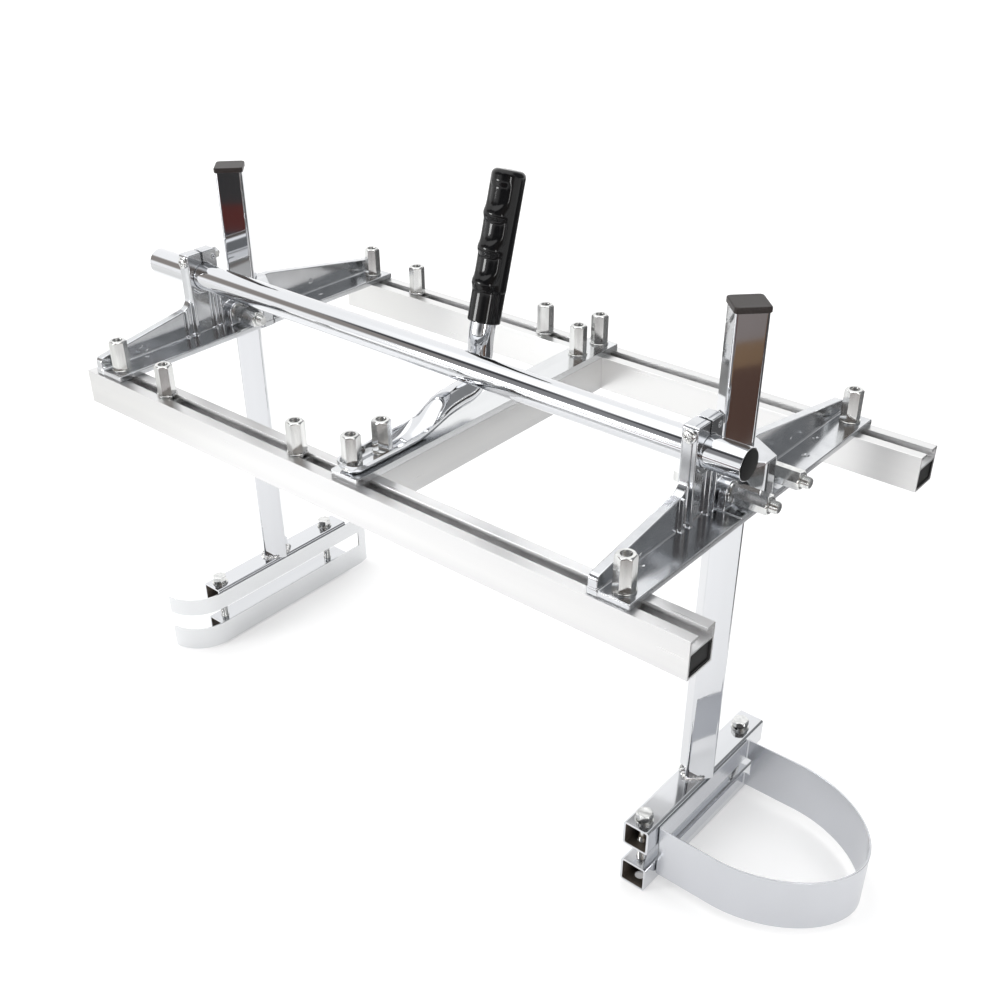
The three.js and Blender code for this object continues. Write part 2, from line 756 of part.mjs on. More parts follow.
// Skins a row of equal closed outlines, each set in its place, and closes both ends. Outlines run
// counter-clockwise as seen from the last place back to the first.
function loft(outlines, places) {
  const size = outlines[0].length;
  const positions = outlines.flatMap((outline, i) => outline.flatMap((point) => places[i](...point)));
  const index = [];
  for (let i = 0; i + 1 < outlines.length; i += 1) {
    for (let k = 0; k < size; k += 1) {
      const a = i * size + k;
      const b = i * size + ((k + 1) % size);
      index.push(a, b, b + size, a, b + size, a + size);
    }
  }
  for (const end of [0, outlines.length - 1]) {
    const flat = outlines[end].map(([a, b]) => new THREE.Vector2(a, b));
    for (const [a, b, c] of THREE.ShapeUtils.triangulateShape(flat, [])) {
      const area = flat[b].clone().sub(flat[a]).cross(flat[c].clone().sub(flat[a]));
      const outward = (area > 0) === (end > 0);
      index.push(...(outward ? [a, b, c] : [a, c, b]).map((k) => end * size + k));
    }
  }
  const geometry = new THREE.BufferGeometry();
  geometry.setAttribute('position', new THREE.Float32BufferAttribute(positions, 3));
  geometry.setIndex(index);
  return solid(geometry);
}

// Puts an outline square to a path that lies in the plane of the handle.
function onPath([y, z], [dy, dz]) {
  return (a, b) => [crossX - a, y - b * dz, z + b * dy];
}

// Handle tube: flattened to a trough where it is bolted down, then round up to the grip.
// Places along the tube are shares of the run back to the grip and of the rise from its flat floor.
const troughFrontY = 5;
const troughFloor = 2.6;
const troughHalf = 13.2;
const troughRim = 9;
const troughSide = 2.6;
const troughEndRadius = 8;
const troughFloorShare = 0.6;
const flattenedShare = 0.389;
const roundShare = 0.695;
const bendShares = [
  [0, 0], [0.194, 0], [0.365, 0], [0.436, 0.012], [0.489, 0.04], [0.542, 0.085], [0.589, 0.134],
  [0.63, 0.175], [0.677, 0.213], [0.771, 0.242], [0.86, 0.257], [0.913, 0.32], [0.948, 0.451], [0.967, 0.616],
];
const gripTilt = THREE.MathUtils.degToRad(16.1);
const gripSet = 47.3;
const gripY = pushTubeY + gripSet;
const gripZ = 80.5;
const gripCover = 100;
const gripLead = 13;
const gripDirection = [Math.sin(gripTilt), Math.cos(gripTilt)];

function alongGrip(distance) {
  return [gripY + distance * gripDirection[0], gripZ + distance * gripDirection[1]];
}

// Section of the tube: an open trough at blend 0, a circle at blend 1, matched point for point.
function handleSection(blend) {
  const half = 11;
  const radius = handleDiameter / 2;
  const outline = [];
  for (const upper of [false, true]) {
    for (let k = 0; k < half; k += 1) {
      const share = (k + 1 / 2) / half;
      const angle = Math.PI * (upper ? share : share - 1);
      const t = (upper ? 1 - 2 * share : 2 * share - 1) / (1 - 1 / half);
      const side = troughHalf - (upper ? troughSide : 0);
      const floor = (upper ? troughFloor : -troughFloor) / 2;
      const climb = Math.max(0, (Math.abs(t) - troughFloorShare) / (1 - troughFloorShare));
      const across = side * Math.sign(t) * Math.min(1, Math.abs(t) / troughFloorShare);
      const up = floor + (troughRim - troughFloor / 2 - floor) * climb;
      outline.push([
        THREE.MathUtils.lerp(across, radius * Math.cos(angle), blend),
        THREE.MathUtils.lerp(up, radius * Math.sin(angle), blend),
      ]);
    }
  }
  return outline;
}

function handleTube() {
  const floorZ = plateTop + troughFloor / 2;
  const run = gripY - troughFrontY;
  const route = bendShares.map(([back, up]) => [troughFrontY + back * run, floorZ + up * (gripZ - floorZ)]);
  for (const along of [-gripLead, 0, gripCover / 2, gripCover]) route.push(alongGrip(along));
  const points = route.map(([y, z]) => new THREE.Vector3(0, y, z));
  const curve = new THREE.CatmullRomCurve3(points, false, 'centripetal');
  const count = 32;
  const outlines = [];
  const places = [];
  for (let i = 0; i <= count; i += 1) {
    const point = curve.getPointAt(i / count);
    const way = curve.getTangentAt(i / count);
    const back = (point.y - troughFrontY) / run;
    const blend = point.z > gripZ ? 1 : THREE.MathUtils.smoothstep(back, flattenedShare, roundShare);
    const rest = plateTop + THREE.MathUtils.lerp(troughFloor, handleDiameter, blend) / 2;
    outlines.push(handleSection(blend));
    places.push(onPath([point.y, Math.max(point.z, rest)], [way.y, way.z]));
  }
  const tube = loft(outlines, places);
  const left = crossX - troughHalf;
  const right = crossX + troughHalf;
  const reach = troughFrontY + 2 * troughEndRadius;
  const top = plateTop + troughRim + overrun;
  const nose = rounded([
    [left, troughFrontY], [right, troughFrontY], [right, reach, 0], [left, reach, 0],
  ], troughEndRadius, 5);
  const square = rectangle(left - overrun, right + overrun, troughFrontY - overrun, reach);
  const trim = prism('z', square, 0, top).subtract(prism('z', nose, -overrun, top + overrun));
  let body = tube.subtract(trim);
  for (const y of plateNutYs.slice(0, 2)) {
    const hole = slotStudDiameter / 2 + holeGap;
    body = body.subtract(drill('z', hole, 0, floorZ + troughFloor + overrun, [crossX, y, 0], 12));
  }
  return body;
}

// Soft grip: a plain sleeve below, finger rises on its front above, and a blind bore for the tube
const gripSleeve = 31;
const gripSleeveInset = 0.7;
const gripRise = 1.7;
const gripFirstRise = 35;
const gripRisePitch = 27;
const gripTopRadius = 5;
const gripTopCap = 8;
const gripTopShares = [0, 0.35, 0.7, 0.92, 1];

function gripRadius(along, angle) {
  const plain = gripDiameter / 2 - (along < gripSleeve ? gripSleeveInset : 0);
  const end = gripLength - along;
  const front = Math.max(0, Math.sin(angle));
  const phase = (along - gripFirstRise) / gripRisePitch - 1 / 2;
  const wave = (1 - Math.cos(2 * Math.PI * phase)) / 2;
  const fingers = along > gripSleeve && end > gripTopCap + gripTopRadius ? wave : 1;
  const rounding = end >= gripTopRadius ? 0
    : gripTopRadius - Math.sqrt(gripTopRadius ** 2 - (gripTopRadius - end) ** 2);
  return plain - gripRise * (1 - fingers) * front - rounding;
}

function handleGrip() {
  const stops = [0];
  for (let k = 1; k <= 19; k += 1) {
    stops.push(gripSleeve + ((k - 1 / 2) * (gripLength - gripSleeve - gripTopRadius)) / 19);
  }
  stops.splice(1, 0, gripSleeve - slideGap);
  for (const share of gripTopShares) stops.push(gripLength - gripTopRadius * (1 - share));
  const outlines = stops.map((along) => Array.from({ length: 24 }, (_, k) => {
    const angle = (2 * Math.PI * k) / 24;
    const radius = gripRadius(along, angle);
    return [radius * Math.cos(angle), radius * Math.sin(angle)];
  }));
  const body = loft(outlines, stops.map((along) => onPath(alongGrip(along), gripDirection)));
  const bore = circle([0, 0], around(handleDiameter / 2 + slideGap, 22), 22);
  const ends = [-overrun, gripCover + slideGap];
  return body.subtract(loft([bore, bore], ends.map((along) => onPath(alongGrip(along), gripDirection))));
}

const railEnds = [['front', 0, 0], ['rear', rearRailShift, frameWidth - railWidth]];
for (const [side, x, y] of railEnds) {
  addPart(`${side}_rail`, rail(x, y), 'rail');
  addPart(`${side}_rail_plug_left`, railPlug(x, 1, y), 'black');
  addPart(`${side}_rail_plug_right`, railPlug(x + railLength, -1, y), 'black');
}

addPart('push_tube', pushTube(), 'chrome');
addPart('push_tube_plug_left', tubePlug(pushTubeStart, 1), 'black');
addPart('push_tube_plug_right', tubePlug(pushTubeEnd, -1), 'black');

for (const [side, x] of [['left', leftBracketX], ['right', rightBracketX]]) {
  addPart(`${side}_bracket`, bracket(x), 'cast');
  addPart(`${side}_pinch_screw`, pinchScrew(x), 'zinc');
  addPart(`${side}_pinch_nut`, pinchNut(x), 'zinc');
  addPart(`${side}_post`, post(x + postOffset), 'chrome');
  addPart(`${side}_post_cap`, postCap(x + postOffset), 'cap');
  addPart(`${side}_post_clamp`, postClamp(x), 'cast');
  for (const [place, y] of [['front', -clampStudSpread], ['rear', clampStudSpread]]) {
    addPart(`${side}_clamp_stud_${place}`, clampStud(x, bracketMidY + y), 'zinc');
    addPart(`${side}_clamp_nut_${place}`, clampNut(x, bracketMidY + y), 'zinc');
  }
  addPart(`${side}_slot_nut_front`, slotNut(x + bracketNutX, frontSlotY, flangeThickness), 'zinc');
  addPart(`${side}_slot_nut_rear`, slotNut(x + bracketNutX, rearSlotY, flangeThickness), 'zinc');
  addPart(`${side}_upper_jaw`, jaw(x + postOffset, upperJawBottom), 'chrome');
  addPart(`${side}_lower_jaw`, jaw(x + postOffset, lowerJawBottom), 'chrome');
  jawBoltYs.forEach((y, i) => {
    const place = i === 0 ? 'front' : 'rear';
    addPart(`${side}_jaw_bolt_${place}`, jawBolt(x + postOffset, y), 'zinc');
    addPart(`${side}_jaw_nut_${place}`, jawNut(x + postOffset, y), 'zinc');
  });
}

addPart('nose_guard', noseGuard(), 'sheet');
addPart('skid_plate', skidPlate(), 'sheet');

for (const [place, x] of [['left', freeNutLeftX], ['right', freeNutRightX]]) {
  addPart(`free_nut_front_${place}`, slotNut(x, frontSlotY, slideGap), 'zinc');
  addPart(`free_nut_rear_${place}`, slotNut(x, rearSlotY, slideGap), 'zinc');
}

addPart('cross_beam', crossBeam(), 'rail');
addPart('cross_plate', crossPlate(), 'cast');
plateNutYs.forEach((y, i) => {
  addPart(`plate_nut_${i + 1}`, slotNut(crossX, y, i < 2 ? plateTop + troughFloor : plateTop), 'zinc');
});
addPart('handle_tube', handleTube(), 'chrome');
addPart('handle_grip', handleGrip(), 'gloss');

export default group;
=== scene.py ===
import json
import bmesh
import bpy
import numpy as np
from mathutils import Matrix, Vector
from mathutils.geometry import tessellate_polygon

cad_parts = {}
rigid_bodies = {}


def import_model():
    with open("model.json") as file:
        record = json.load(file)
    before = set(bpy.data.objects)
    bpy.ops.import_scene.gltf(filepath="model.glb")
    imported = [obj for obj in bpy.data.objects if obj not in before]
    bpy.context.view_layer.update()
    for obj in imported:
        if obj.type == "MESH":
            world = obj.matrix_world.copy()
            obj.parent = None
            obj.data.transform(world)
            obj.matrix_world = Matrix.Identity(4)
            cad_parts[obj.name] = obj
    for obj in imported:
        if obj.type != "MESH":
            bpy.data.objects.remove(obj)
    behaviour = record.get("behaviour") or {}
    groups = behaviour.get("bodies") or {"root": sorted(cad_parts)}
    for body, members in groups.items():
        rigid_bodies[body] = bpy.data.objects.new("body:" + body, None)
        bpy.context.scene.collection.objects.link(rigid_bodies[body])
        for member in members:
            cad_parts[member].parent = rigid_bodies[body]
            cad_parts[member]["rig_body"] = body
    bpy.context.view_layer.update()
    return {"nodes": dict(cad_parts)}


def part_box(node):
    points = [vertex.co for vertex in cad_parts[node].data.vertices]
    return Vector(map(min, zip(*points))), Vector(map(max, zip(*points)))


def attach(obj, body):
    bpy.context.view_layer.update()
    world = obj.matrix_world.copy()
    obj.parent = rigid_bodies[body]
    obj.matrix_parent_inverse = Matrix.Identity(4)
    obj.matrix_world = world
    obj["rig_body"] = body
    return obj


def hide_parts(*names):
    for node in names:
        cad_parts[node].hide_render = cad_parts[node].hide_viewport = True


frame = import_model()

# Camera. It stands to the right of the rails' near end, above the posts, and looks down across the
# mill at its far left corner. The lens is 43.7 mm on a 36 mm sensor, shifted a little to one side.
sensor, focal, picture, camera_place = 36.0, 1212.88, 1000.0, np.array([0.62245, -0.73345, 0.82160])
upright = np.array([0.0, 0.0, 1.0])


def hung(name, data, right, top, back, place):
    """Camera or lamp at a place, from the directions of its right side, its top and its back."""
    made = bpy.data.objects.new(name, data)
    bpy.context.scene.collection.objects.link(made)
    made.matrix_world = Matrix(np.vstack([np.column_stack([right, top, back, place]), (0, 0, 0, 1)]).tolist())
    return made


camera_data = bpy.data.cameras.new("camera")
camera_data.sensor_width = sensor
camera_data.lens = sensor * focal / picture
camera_data.shift_x, camera_data.shift_y = 0.01744, 0.05967
camera_data.clip_end = 30.0
turn, lift, roll = np.radians([41.10, 32.97, -0.75])
back = np.array([np.cos(lift) * np.sin(turn), -np.cos(lift) * np.cos(turn), np.sin(lift)])
side = np.cross(upright, back)
side /= np.linalg.norm(side)
over = np.cross(back, side)
bpy.context.scene.camera = hung("camera", camera_data, np.cos(roll) * side + np.sin(roll) * over,
                                np.cos(roll) * over - np.sin(roll) * side, back, camera_place)
bpy.context.scene.view_settings.view_transform = "Standard"

# Studio. A white room, plain where the camera sees it, with dim stretches of wall that give polished
# metal its dark streaks, a pale lit floor, two upright lamps, and cards on the floor in front of the
# mill and beside it, which show only in reflections.
room_light, floor_reach, floor_drop, floor_light = 1.22, 6.0, 5e-4, 0.26
card_lift, lamp_reach = 1e-3, 2.4


def added(tree, kind, inputs=None, **options):
    """Adds a node to a tree. Options are set first, and then each input gets a value, or a link where
    an output is given for it."""
    made = tree.nodes.new("ShaderNode" + kind)
    for key, value in options.items():
        setattr(made, key, value)
    for key, value in (inputs or {}).items():
        if isinstance(value, bpy.types.NodeSocket):
            tree.links.new(value, made.inputs[key])
        else:
            made.inputs[key].default_value = value
    return made


world = bpy.data.worlds.new("studio")
bpy.context.scene.world = world
world.use_nodes = True
tree = world.node_tree
tree.nodes.clear()
view_way = added(tree, "TexCoord").outputs["Generated"]
plain = (room_light, room_light, room_light, 1)
reached = plain
for way, inner, outer, light in (
    ((0.0, -0.1, 1.0), 24.0, 46.0, (2.0, 2.0, 2.0)),
    ((0.62, 0.62, 0.42), 30.0, 46.0, (0.28, 0.285, 0.29)),
    ((-0.40, -0.76, 0.51), 9.0, 19.0, (0.30, 0.30, 0.31)),
    ((-0.60, -0.64, 0.48), 8.0, 18.0, (0.30, 0.30, 0.31)),
    ((-0.80, -0.50, 0.36), 8.0, 18.0, (0.34, 0.31, 0.29)),
    ((-0.42, -0.60, 0.70), 4.0, 9.0, (0.07, 0.07, 0.075)),
    ((-0.62, -0.46, 0.65), 4.0, 9.0, (0.07, 0.07, 0.075)),
    ((0.30, -0.80, 0.50), 22.0, 36.0, (0.10, 0.10, 0.105)),
    ((0.75, -0.45, 0.30), 16.0, 34.0, (0.20, 0.17, 0.15)),
):
    near = added(tree, "VectorMath", {0: view_way, 1: np.array(way) / np.linalg.norm(way)},
                 operation="DOT_PRODUCT").outputs["Value"]
    share = added(tree, "MapRange", {"Value": near, "From Min": np.cos(np.radians(outer)),
                                     "From Max": np.cos(np.radians(inner))}, interpolation_type="SMOOTHSTEP")
    reached = added(tree, "Mix", {"Factor": share.outputs["Result"], "A": reached, "B": (*light, 1)},
                    data_type="RGBA").outputs["Result"]
seen = added(tree, "LightPath").outputs["Is Camera Ray"]
glow = added(tree, "Mix", {"Factor": seen, "A": reached, "B": plain}, data_type="RGBA").outputs["Result"]
glow = added(tree, "Background", {"Color": glow}).outputs[0]
added(tree, "OutputWorld", {"Surface": glow})


def sheet_on_floor(name, corners, colour, lit=0.0):
    """Flat sheet of one matt colour, lying at the height its corners give. One with light of its own
    is seen, and one without is a card that shows only in reflections."""
    mesh = bpy.data.meshes.new(name)
    mesh.from_pydata(corners, [], [tuple(range(len(corners)))])
    cover = bpy.data.materials.new(name)
    cover.use_nodes = True
    for key, value in (("Base Color", (*colour, 1)), ("Roughness", 0.9), ("Specular IOR Level", 0.1),
                       ("Emission Color", (1, 1, 1, 1)), ("Emission Strength", lit)):
        cover.node_tree.nodes["Principled BSDF"].inputs[key].default_value = value
    mesh.materials.append(cover)
    laid = bpy.data.objects.new(name, mesh)
    bpy.context.scene.collection.objects.link(laid)
    if not lit:
        laid.visible_camera = laid.visible_diffuse = laid.visible_shadow = False


plan = floor_reach * np.array([(-1, -1), (1, -1), (1, 1), (-1, 1)])
sheet_on_floor("floor", [(*place, -floor_drop) for place in plan.tolist()], (0.85, 0.85, 0.85), floor_light)
for name, ways, spreads in (
    ("card_%d", ((0.656, -0.755), (0.755, 0.656)), (
        (0.60, 0.72, 0.80, -1.6, -0.12, (0.23, 0.17, 0.17)),
        (0.80, 0.80, 1.07, -1.6, -0.12, (0.18, 0.18, 0.185)),
        (1.07, 1.07, 1.14, -1.6, -0.12, (0.42, 0.42, 0.43)),
        (1.14, 1.14, 1.22, -1.6, -0.12, (0.04, 0.047, 0.055)),
        (1.22, 1.22, 1.42, -1.6, -0.12, (0.09, 0.020, 0.017)),
        (1.42, 1.42, 2.60, -1.6, -0.12, (0.034, 0.033, 0.034)),
        (0.88, 0.88, 1.16, -0.12, 2.0, (0.075, 0.040, 0.029)),
        (1.16, 1.16, 1.26, -0.12, 2.0, (0.17, 0.105, 0.06)),
        (1.26, 1.26, 2.60, -0.12, 2.0, (0.19, 0.165, 0.16)))),
    ("side_card_%d", ((0.0, 1.0), (1.0, 0.0)), (
        (0.25, 0.25, 0.80, 0.20, 0.52, (0.85, 0.85, 0.85)),
        (0.06, 0.06, 1.60, 0.53, 1.60, (0.07, 0.07, 0.072)),
        (0.82, 0.82, 1.90, -0.40, 0.52, (0.10, 0.10, 0.102)),
        (-1.40, -1.40, -0.12, -2.60, -0.76, (0.79, 0.79, 0.78)))),
):
    for number, (near_left, near_right, far, left, right, colour) in enumerate(spreads):
        plan = np.array([(near_left, left), (near_right, right), (far, right), (far, left)]) @ ways
        sheet_on_floor(name % number, [(*place, card_lift) for place in plan.tolist()], colour)
for name, azimuth, height, wide, tall, power in (("lamp_left", 238.5, 0.66, 0.74, 0.50, 20.0),
                                                 ("lamp_right", 326.0, 0.60, 0.28, 0.9, 9.0)):
    lamp = bpy.data.lights.new(name, "AREA")
    lamp.shape, lamp.size, lamp.size_y, lamp.energy = "RECTANGLE", wide, tall, power
    out = np.array([np.cos(np.radians(azimuth)), np.sin(np.radians(azimuth)), 0.0])
    hung(name, lamp, np.cross(upright, out), upright, out, lamp_reach * out + height * upright)

# Rails and cross beam. Extruded aluminium sawn to length: a T slot for bolt heads above a closed
# chamber. The beam is a shorter length of the same section, set between the two rails.
rail_wall, slot_width, slot_lip, slot_depth = 1.6, 10.2, 2.6, 10.4
rail_edge, chamber_edge, slot_sight = 0.5, 1.2, 0.6


def surface(name, tones, rough, stretch=(1.0, 1.0, 1.0), grain=500.0, mottle=25.0, relief=0.0, wave=0.0,
            band=0.35, metallic=1.0, shine=0.5):
    """Material on object coordinates, a metal unless it is told otherwise. Its colour goes from one
    tone to the other as a broad noise goes from the band to one less the band. Its roughness runs
    between two values on a fine noise stretched along the grain. The fine noise lifts the surface by
    the relief and the broad one by the wave, both in millimetres."""
    made = bpy.data.materials.new(name)
    made.use_nodes = True
    tree = made.node_tree
    sockets = tree.nodes["Principled BSDF"].inputs
    sockets["Metallic"].default_value, sockets["Specular IOR Level"].default_value = metallic, shine
    place = added(tree, "TexCoord").outputs["Object"]
    place = added(tree, "Mapping", {"Vector": place, "Scale": stretch}).outputs["Vector"]
    fine, broad = [added(tree, "TexNoise", {"Vector": place, "Scale": scale, "Detail": 3.0}).outputs["Fac"]
                   for scale in (grain, mottle)]
    tone = added(tree, "ValToRGB", {"Fac": broad})
    for element, at, colour in zip(tone.color_ramp.elements, (band, 1 - band), tones):
        element.position, element.color = at, (*colour, 1)
    gloss = added(tree, "MapRange", {"Value": fine, "To Min": rough[0], "To Max": rough[1]})
    tree.links.new(tone.outputs["Color"], sockets["Base Color"])
    tree.links.new(gloss.outputs["Result"], sockets["Roughness"])
    facing = sockets["Normal"]
    for noise, height in ((fine, relief), (broad, wave)):
        if height:
            bump = added(tree, "Bump", {"Height": noise, "Distance": height / 1000.0})
            tree.links.new(bump.outputs["Normal"], facing)
            facing = bump.inputs["Normal"]
    return made


def corners(node):
    """A node's lowest and highest corner, in millimetres."""
    return [1000.0 * np.array(corner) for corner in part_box(node)]


def middle(node, axis):
    """Where a node's middle is on the two axes across a given one, in millimetres."""
    return np.delete(np.mean(corners(node), axis=0), "xyz".index(axis))


def eased(outline, radius, steps=4):
    """Closed outline with an arc at each corner. The arc's centre lies on the line that halves the
    corner, at the radius over the sine of the half angle, and the arc turns about it from the point
    where it touches one side to the point where it touches the other."""
    outline = np.asarray(outline, float)
    before, after = np.roll(outline, 1, 0) - outline, np.roll(outline, -1, 0) - outline
    before /= np.linalg.norm(before, axis=1)[:, None]
    after /= np.linalg.norm(after, axis=1)[:, None]
    half = np.arccos(np.clip((before * after).sum(1), -1, 1)) / 2
    halving = (before + after) / np.linalg.norm(before + after, axis=1)[:, None]
    centre = outline + halving * (radius / np.sin(half))[:, None]
    start = outline + before * (radius / np.tan(half))[:, None] - centre
    end = outline + after * (radius / np.tan(half))[:, None] - centre
    angle = np.arctan2(start[:, 0] * end[:, 1] - start[:, 1] * end[:, 0], (start * end).sum(1))
    angle = angle[:, None] * np.linspace(0, 1, steps + 1)
    first = start[:, :1] * np.cos(angle) - start[:, 1:] * np.sin(angle) + centre[:, :1]
    second = start[:, :1] * np.sin(angle) + start[:, 1:] * np.cos(angle) + centre[:, 1:]
    points = np.stack([first.ravel(), second.ravel()], -1)
    return points[np.linalg.norm(points - np.roll(points, 1, 0), axis=1) > 1e-6]


def rectangle(low, high, inset=0.0):
    """Corners of a rectangle between its lowest and highest, drawn in by an inset."""
    (a0, b0), (a1, b1) = np.add(low, inset), np.subtract(high, inset)
    return [(a0, b0), (a1, b0), (a1, b1), (a0, b1)]


def set_out(axis, a, b, along):
    """Points from two coordinates across an axis and one along it: (y, z) across X, (x, z) across Y
    and (x, y) across Z."""
    order = {"x": [2, 0, 1], "y": [0, 2, 1], "z": [0, 1, 2]}[axis]
    return np.stack(np.broadcast_arrays(a, b, along), -1)[..., order]


def prism(axis, loops, low, high):
    """Outline with any holes, carried straight along an axis: a band of quads for each outline, and
    both ends cut into triangles between the outlines."""
    flat = np.vstack(loops)
    count, base = len(flat), 0
    points = np.vstack([set_out(axis, flat[:, 0], flat[:, 1], end) for end in (low, high)])
    ends = np.array(tessellate_polygon([[(a, b, 0.0) for a, b in loop] for loop in loops]))
    blocks = [ends, ends[:, ::-1] + count]
    for loop in loops:
        here = base + np.arange(len(loop))
        there = np.roll(here, -1)
        blocks.append(np.stack([here, there, there + count, here + count], -1))
        base += len(loop)
    return points, blocks


def worked(mesh, *steps):
    """Runs steps on a mesh, each given the mesh opened for editing."""
    work = bmesh.new()
    work.from_mesh(mesh)
    for step in steps:
        step(work)
    work.to_mesh(mesh)
    work.free()


def merged(work):
    """Merges doubled points."""
    bmesh.ops.remove_doubles(work, verts=work.verts, dist=2e-6)


def shape(node, made, parts, finish, sharp=30.0, bevel=0.0, stands_in=True):
    """One object for a node, from skins, each of points in millimetres and blocks of faces. Doubled
    points are merged and faces turned outwards. Shading breaks where faces meet at more than the
    sharp angle, and a bevel eases the edges where one is given."""
    faces, base = [], 0
    for points, blocks in parts:
        faces += [row for block in blocks for row in (np.asarray(block) + base).tolist()]
        base += len(points)
    mesh = bpy.data.meshes.new(node + "_" + made)
    mesh.from_pydata((np.vstack([points for points, _ in parts]) / 1000.0).tolist(), [], faces)
    worked(mesh, merged, lambda work: bmesh.ops.recalc_face_normals(work, faces=work.faces))
    mesh.shade_smooth()
    mesh.set_sharp_from_angle(angle=np.radians(sharp))
    return dress(bpy.data.objects.new(mesh.name, mesh), node, finish, bevel, stands_in)


def dress(piece, node, finish, bevel=0.0, stands_in=True, even=True):
    """Gives a node's object its material, its eased edges and even shading, and its place on the node's rigid body.
    One that stands in for the node replaces it, and one that doesn't is added to it."""
    bpy.context.scene.collection.objects.link(piece)
    piece.data.materials.append(finish)
    if bevel:
        ease = piece.modifiers.new("ease", "BEVEL")
        ease.width, ease.segments, ease.limit_method = bevel / 1000.0, 2, "ANGLE"
        ease.angle_limit = np.radians(40.0)
    if even:
        piece.modifiers.new("even", "WEIGHTED_NORMAL").keep_sharp = not bevel
    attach(piece, frame["nodes"][node]["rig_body"])
    if stands_in:
        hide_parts(node)
    return piece


def second_finish(piece, finish, inside):
    """Gives a second material to the faces whose middle, in millimetres, answers true."""
    piece.data.materials.append(finish)
    middles = np.empty(3 * len(piece.data.polygons))
    piece.data.polygons.foreach_get("center", middles)
    piece.data.polygons.foreach_set("material_index", inside(1000.0 * middles.reshape(-1, 3)).astype(np.int32))


def rail_section(left, right, top, bottom):
    """The rail's outline with its slot, and the outline of the closed chamber under it."""
    mouth_left, mouth_right = (left + right - slot_width) / 2, (left + right + slot_width) / 2
    inner_left, inner_right, lip, bed = left + rail_wall, right - rail_wall, top - slot_lip, top - slot_depth
    outline = [
        (left, top), (mouth_left, top), (mouth_left, lip), (inner_left, lip), (inner_left, bed), (inner_right, bed),
        (inner_right, lip), (mouth_right, lip), (mouth_right, top), (right, top), (right, bottom), (left, bottom)]
    chamber = rectangle((left, bottom), (right, bed), rail_wall)
    return [eased(outline, rail_edge, 3), eased(chamber, chamber_edge, 3)]


satin = dict(tones=((0.68, 0.68, 0.685), (0.755, 0.755, 0.75)), rough=(0.24, 0.36), relief=0.003)
satin_along = surface("satin_aluminium", stretch=(0.03, 1.0, 1.0), **satin)
satin_across = surface("satin_aluminium_beam", stretch=(1.0, 0.03, 1.0), **satin)
# Inside the T slot the aluminium is rougher, for its mill finish, and painted paler: painted light for the light that
# reaches the slot's floor.
slot_painted_light = surface("slot_aluminium_painted_light", ((0.84, 0.84, 0.845), (0.92, 0.92, 0.92)), (0.5, 0.66), relief=0.003)
for node, axis, finish in (("front_rail", "x", satin_along), ("rear_rail", "x", satin_along),
                           ("cross_beam", "y", satin_across)):
    low, high = corners(node)
    along, across = (0, 1) if axis == "x" else (1, 0)
    section = rail_section(low[across], high[across], high[2], low[2])
    rail = shape(node, "extruded", [prism(axis, section, low[along], high[along])], finish)
    slot_low, slot_high = low.copy(), high.copy()
    slot_low[across], slot_high[across] = low[across] + rail_wall - 0.1, high[across] - rail_wall + 0.1
    slot_low[along], slot_high[along] = low[along] + 0.01, high[along] - 0.01
    slot_low[2], slot_high[2] = high[2] - slot_depth - 0.1, high[2] - slot_sight
    # Faces inside the slot, below its top edge, take the paler copy: painted light.
    second_finish(rail, slot_painted_light, lambda at: ((at > slot_low) & (at < slot_high)).all(1))

# Rail plugs. Soft black plastic cups pushed into the closed chamber, with a raised rim round a
# slightly sunk face.
plug_rim, plug_sink, plug_edge, plug_corner = 1.6, 0.7, 0.8, 1.0


def plastic(name, tones, rough, grain, relief, shine):
    """Moulded plastic: colour, roughness and relief on one noise. The shine is the share of light
    that the surface throws back, a half for clear plastic."""
    return surface(name, tones, rough, grain=grain, mottle=grain, relief=relief, band=0.3, metallic=0.0, shine=shine)


def skin(loops, joined=False):
    """Quads between a stack of equal closed loops. A joined stack closes on itself, and otherwise a
    single face closes each end."""
    loops = np.asarray(loops, float)
    here = np.arange(loops.shape[0] * loops.shape[1]).reshape(loops.shape[:2])
    base, along = (here, np.roll(here, -1, 0)) if joined else (here[:-1], here[1:])
    quads = np.stack([base, np.roll(base, -1, 1), np.roll(along, -1, 1), along], -1).reshape(-1, 4)
    return loops.reshape(-1, 3), [quads] if joined else [quads, here[:1], here[-1:]]


def plug_ends(node):
    """Where a plug's face and its deep end are along X, and which way is inward."""
    low, high = corners(node)
    return (low[0], high[0], 1.0) if node.endswith("left") else (high[0], low[0], -1.0)


black_plastic = plastic("black_plastic", ((0.006, 0.006, 0.006), (0.012, 0.012, 0.012)), (0.35, 0.5),
                        grain=900.0, relief=0.02, shine=0.15)
for node in ("front_rail_plug_left", "front_rail_plug_right", "rear_rail_plug_left", "rear_rail_plug_right"):
    low, high = corners(node)
    face, deep, inward = plug_ends(node)
    loops = []
    for inset, along in ((0.0, deep), (0.0, face + inward * plug_edge / 2), (plug_edge / 2, face), (plug_rim, face),
                         (plug_rim + plug_edge / 2, face + inward * plug_sink),
                         (plug_rim + 2 * plug_edge, face + inward * plug_sink)):
        loops.append(set_out("x", *eased(rectangle(low[1:], high[1:], inset), plug_corner, 3).T, along))
    shape(node, "moulded", [skin(loops)], black_plastic)

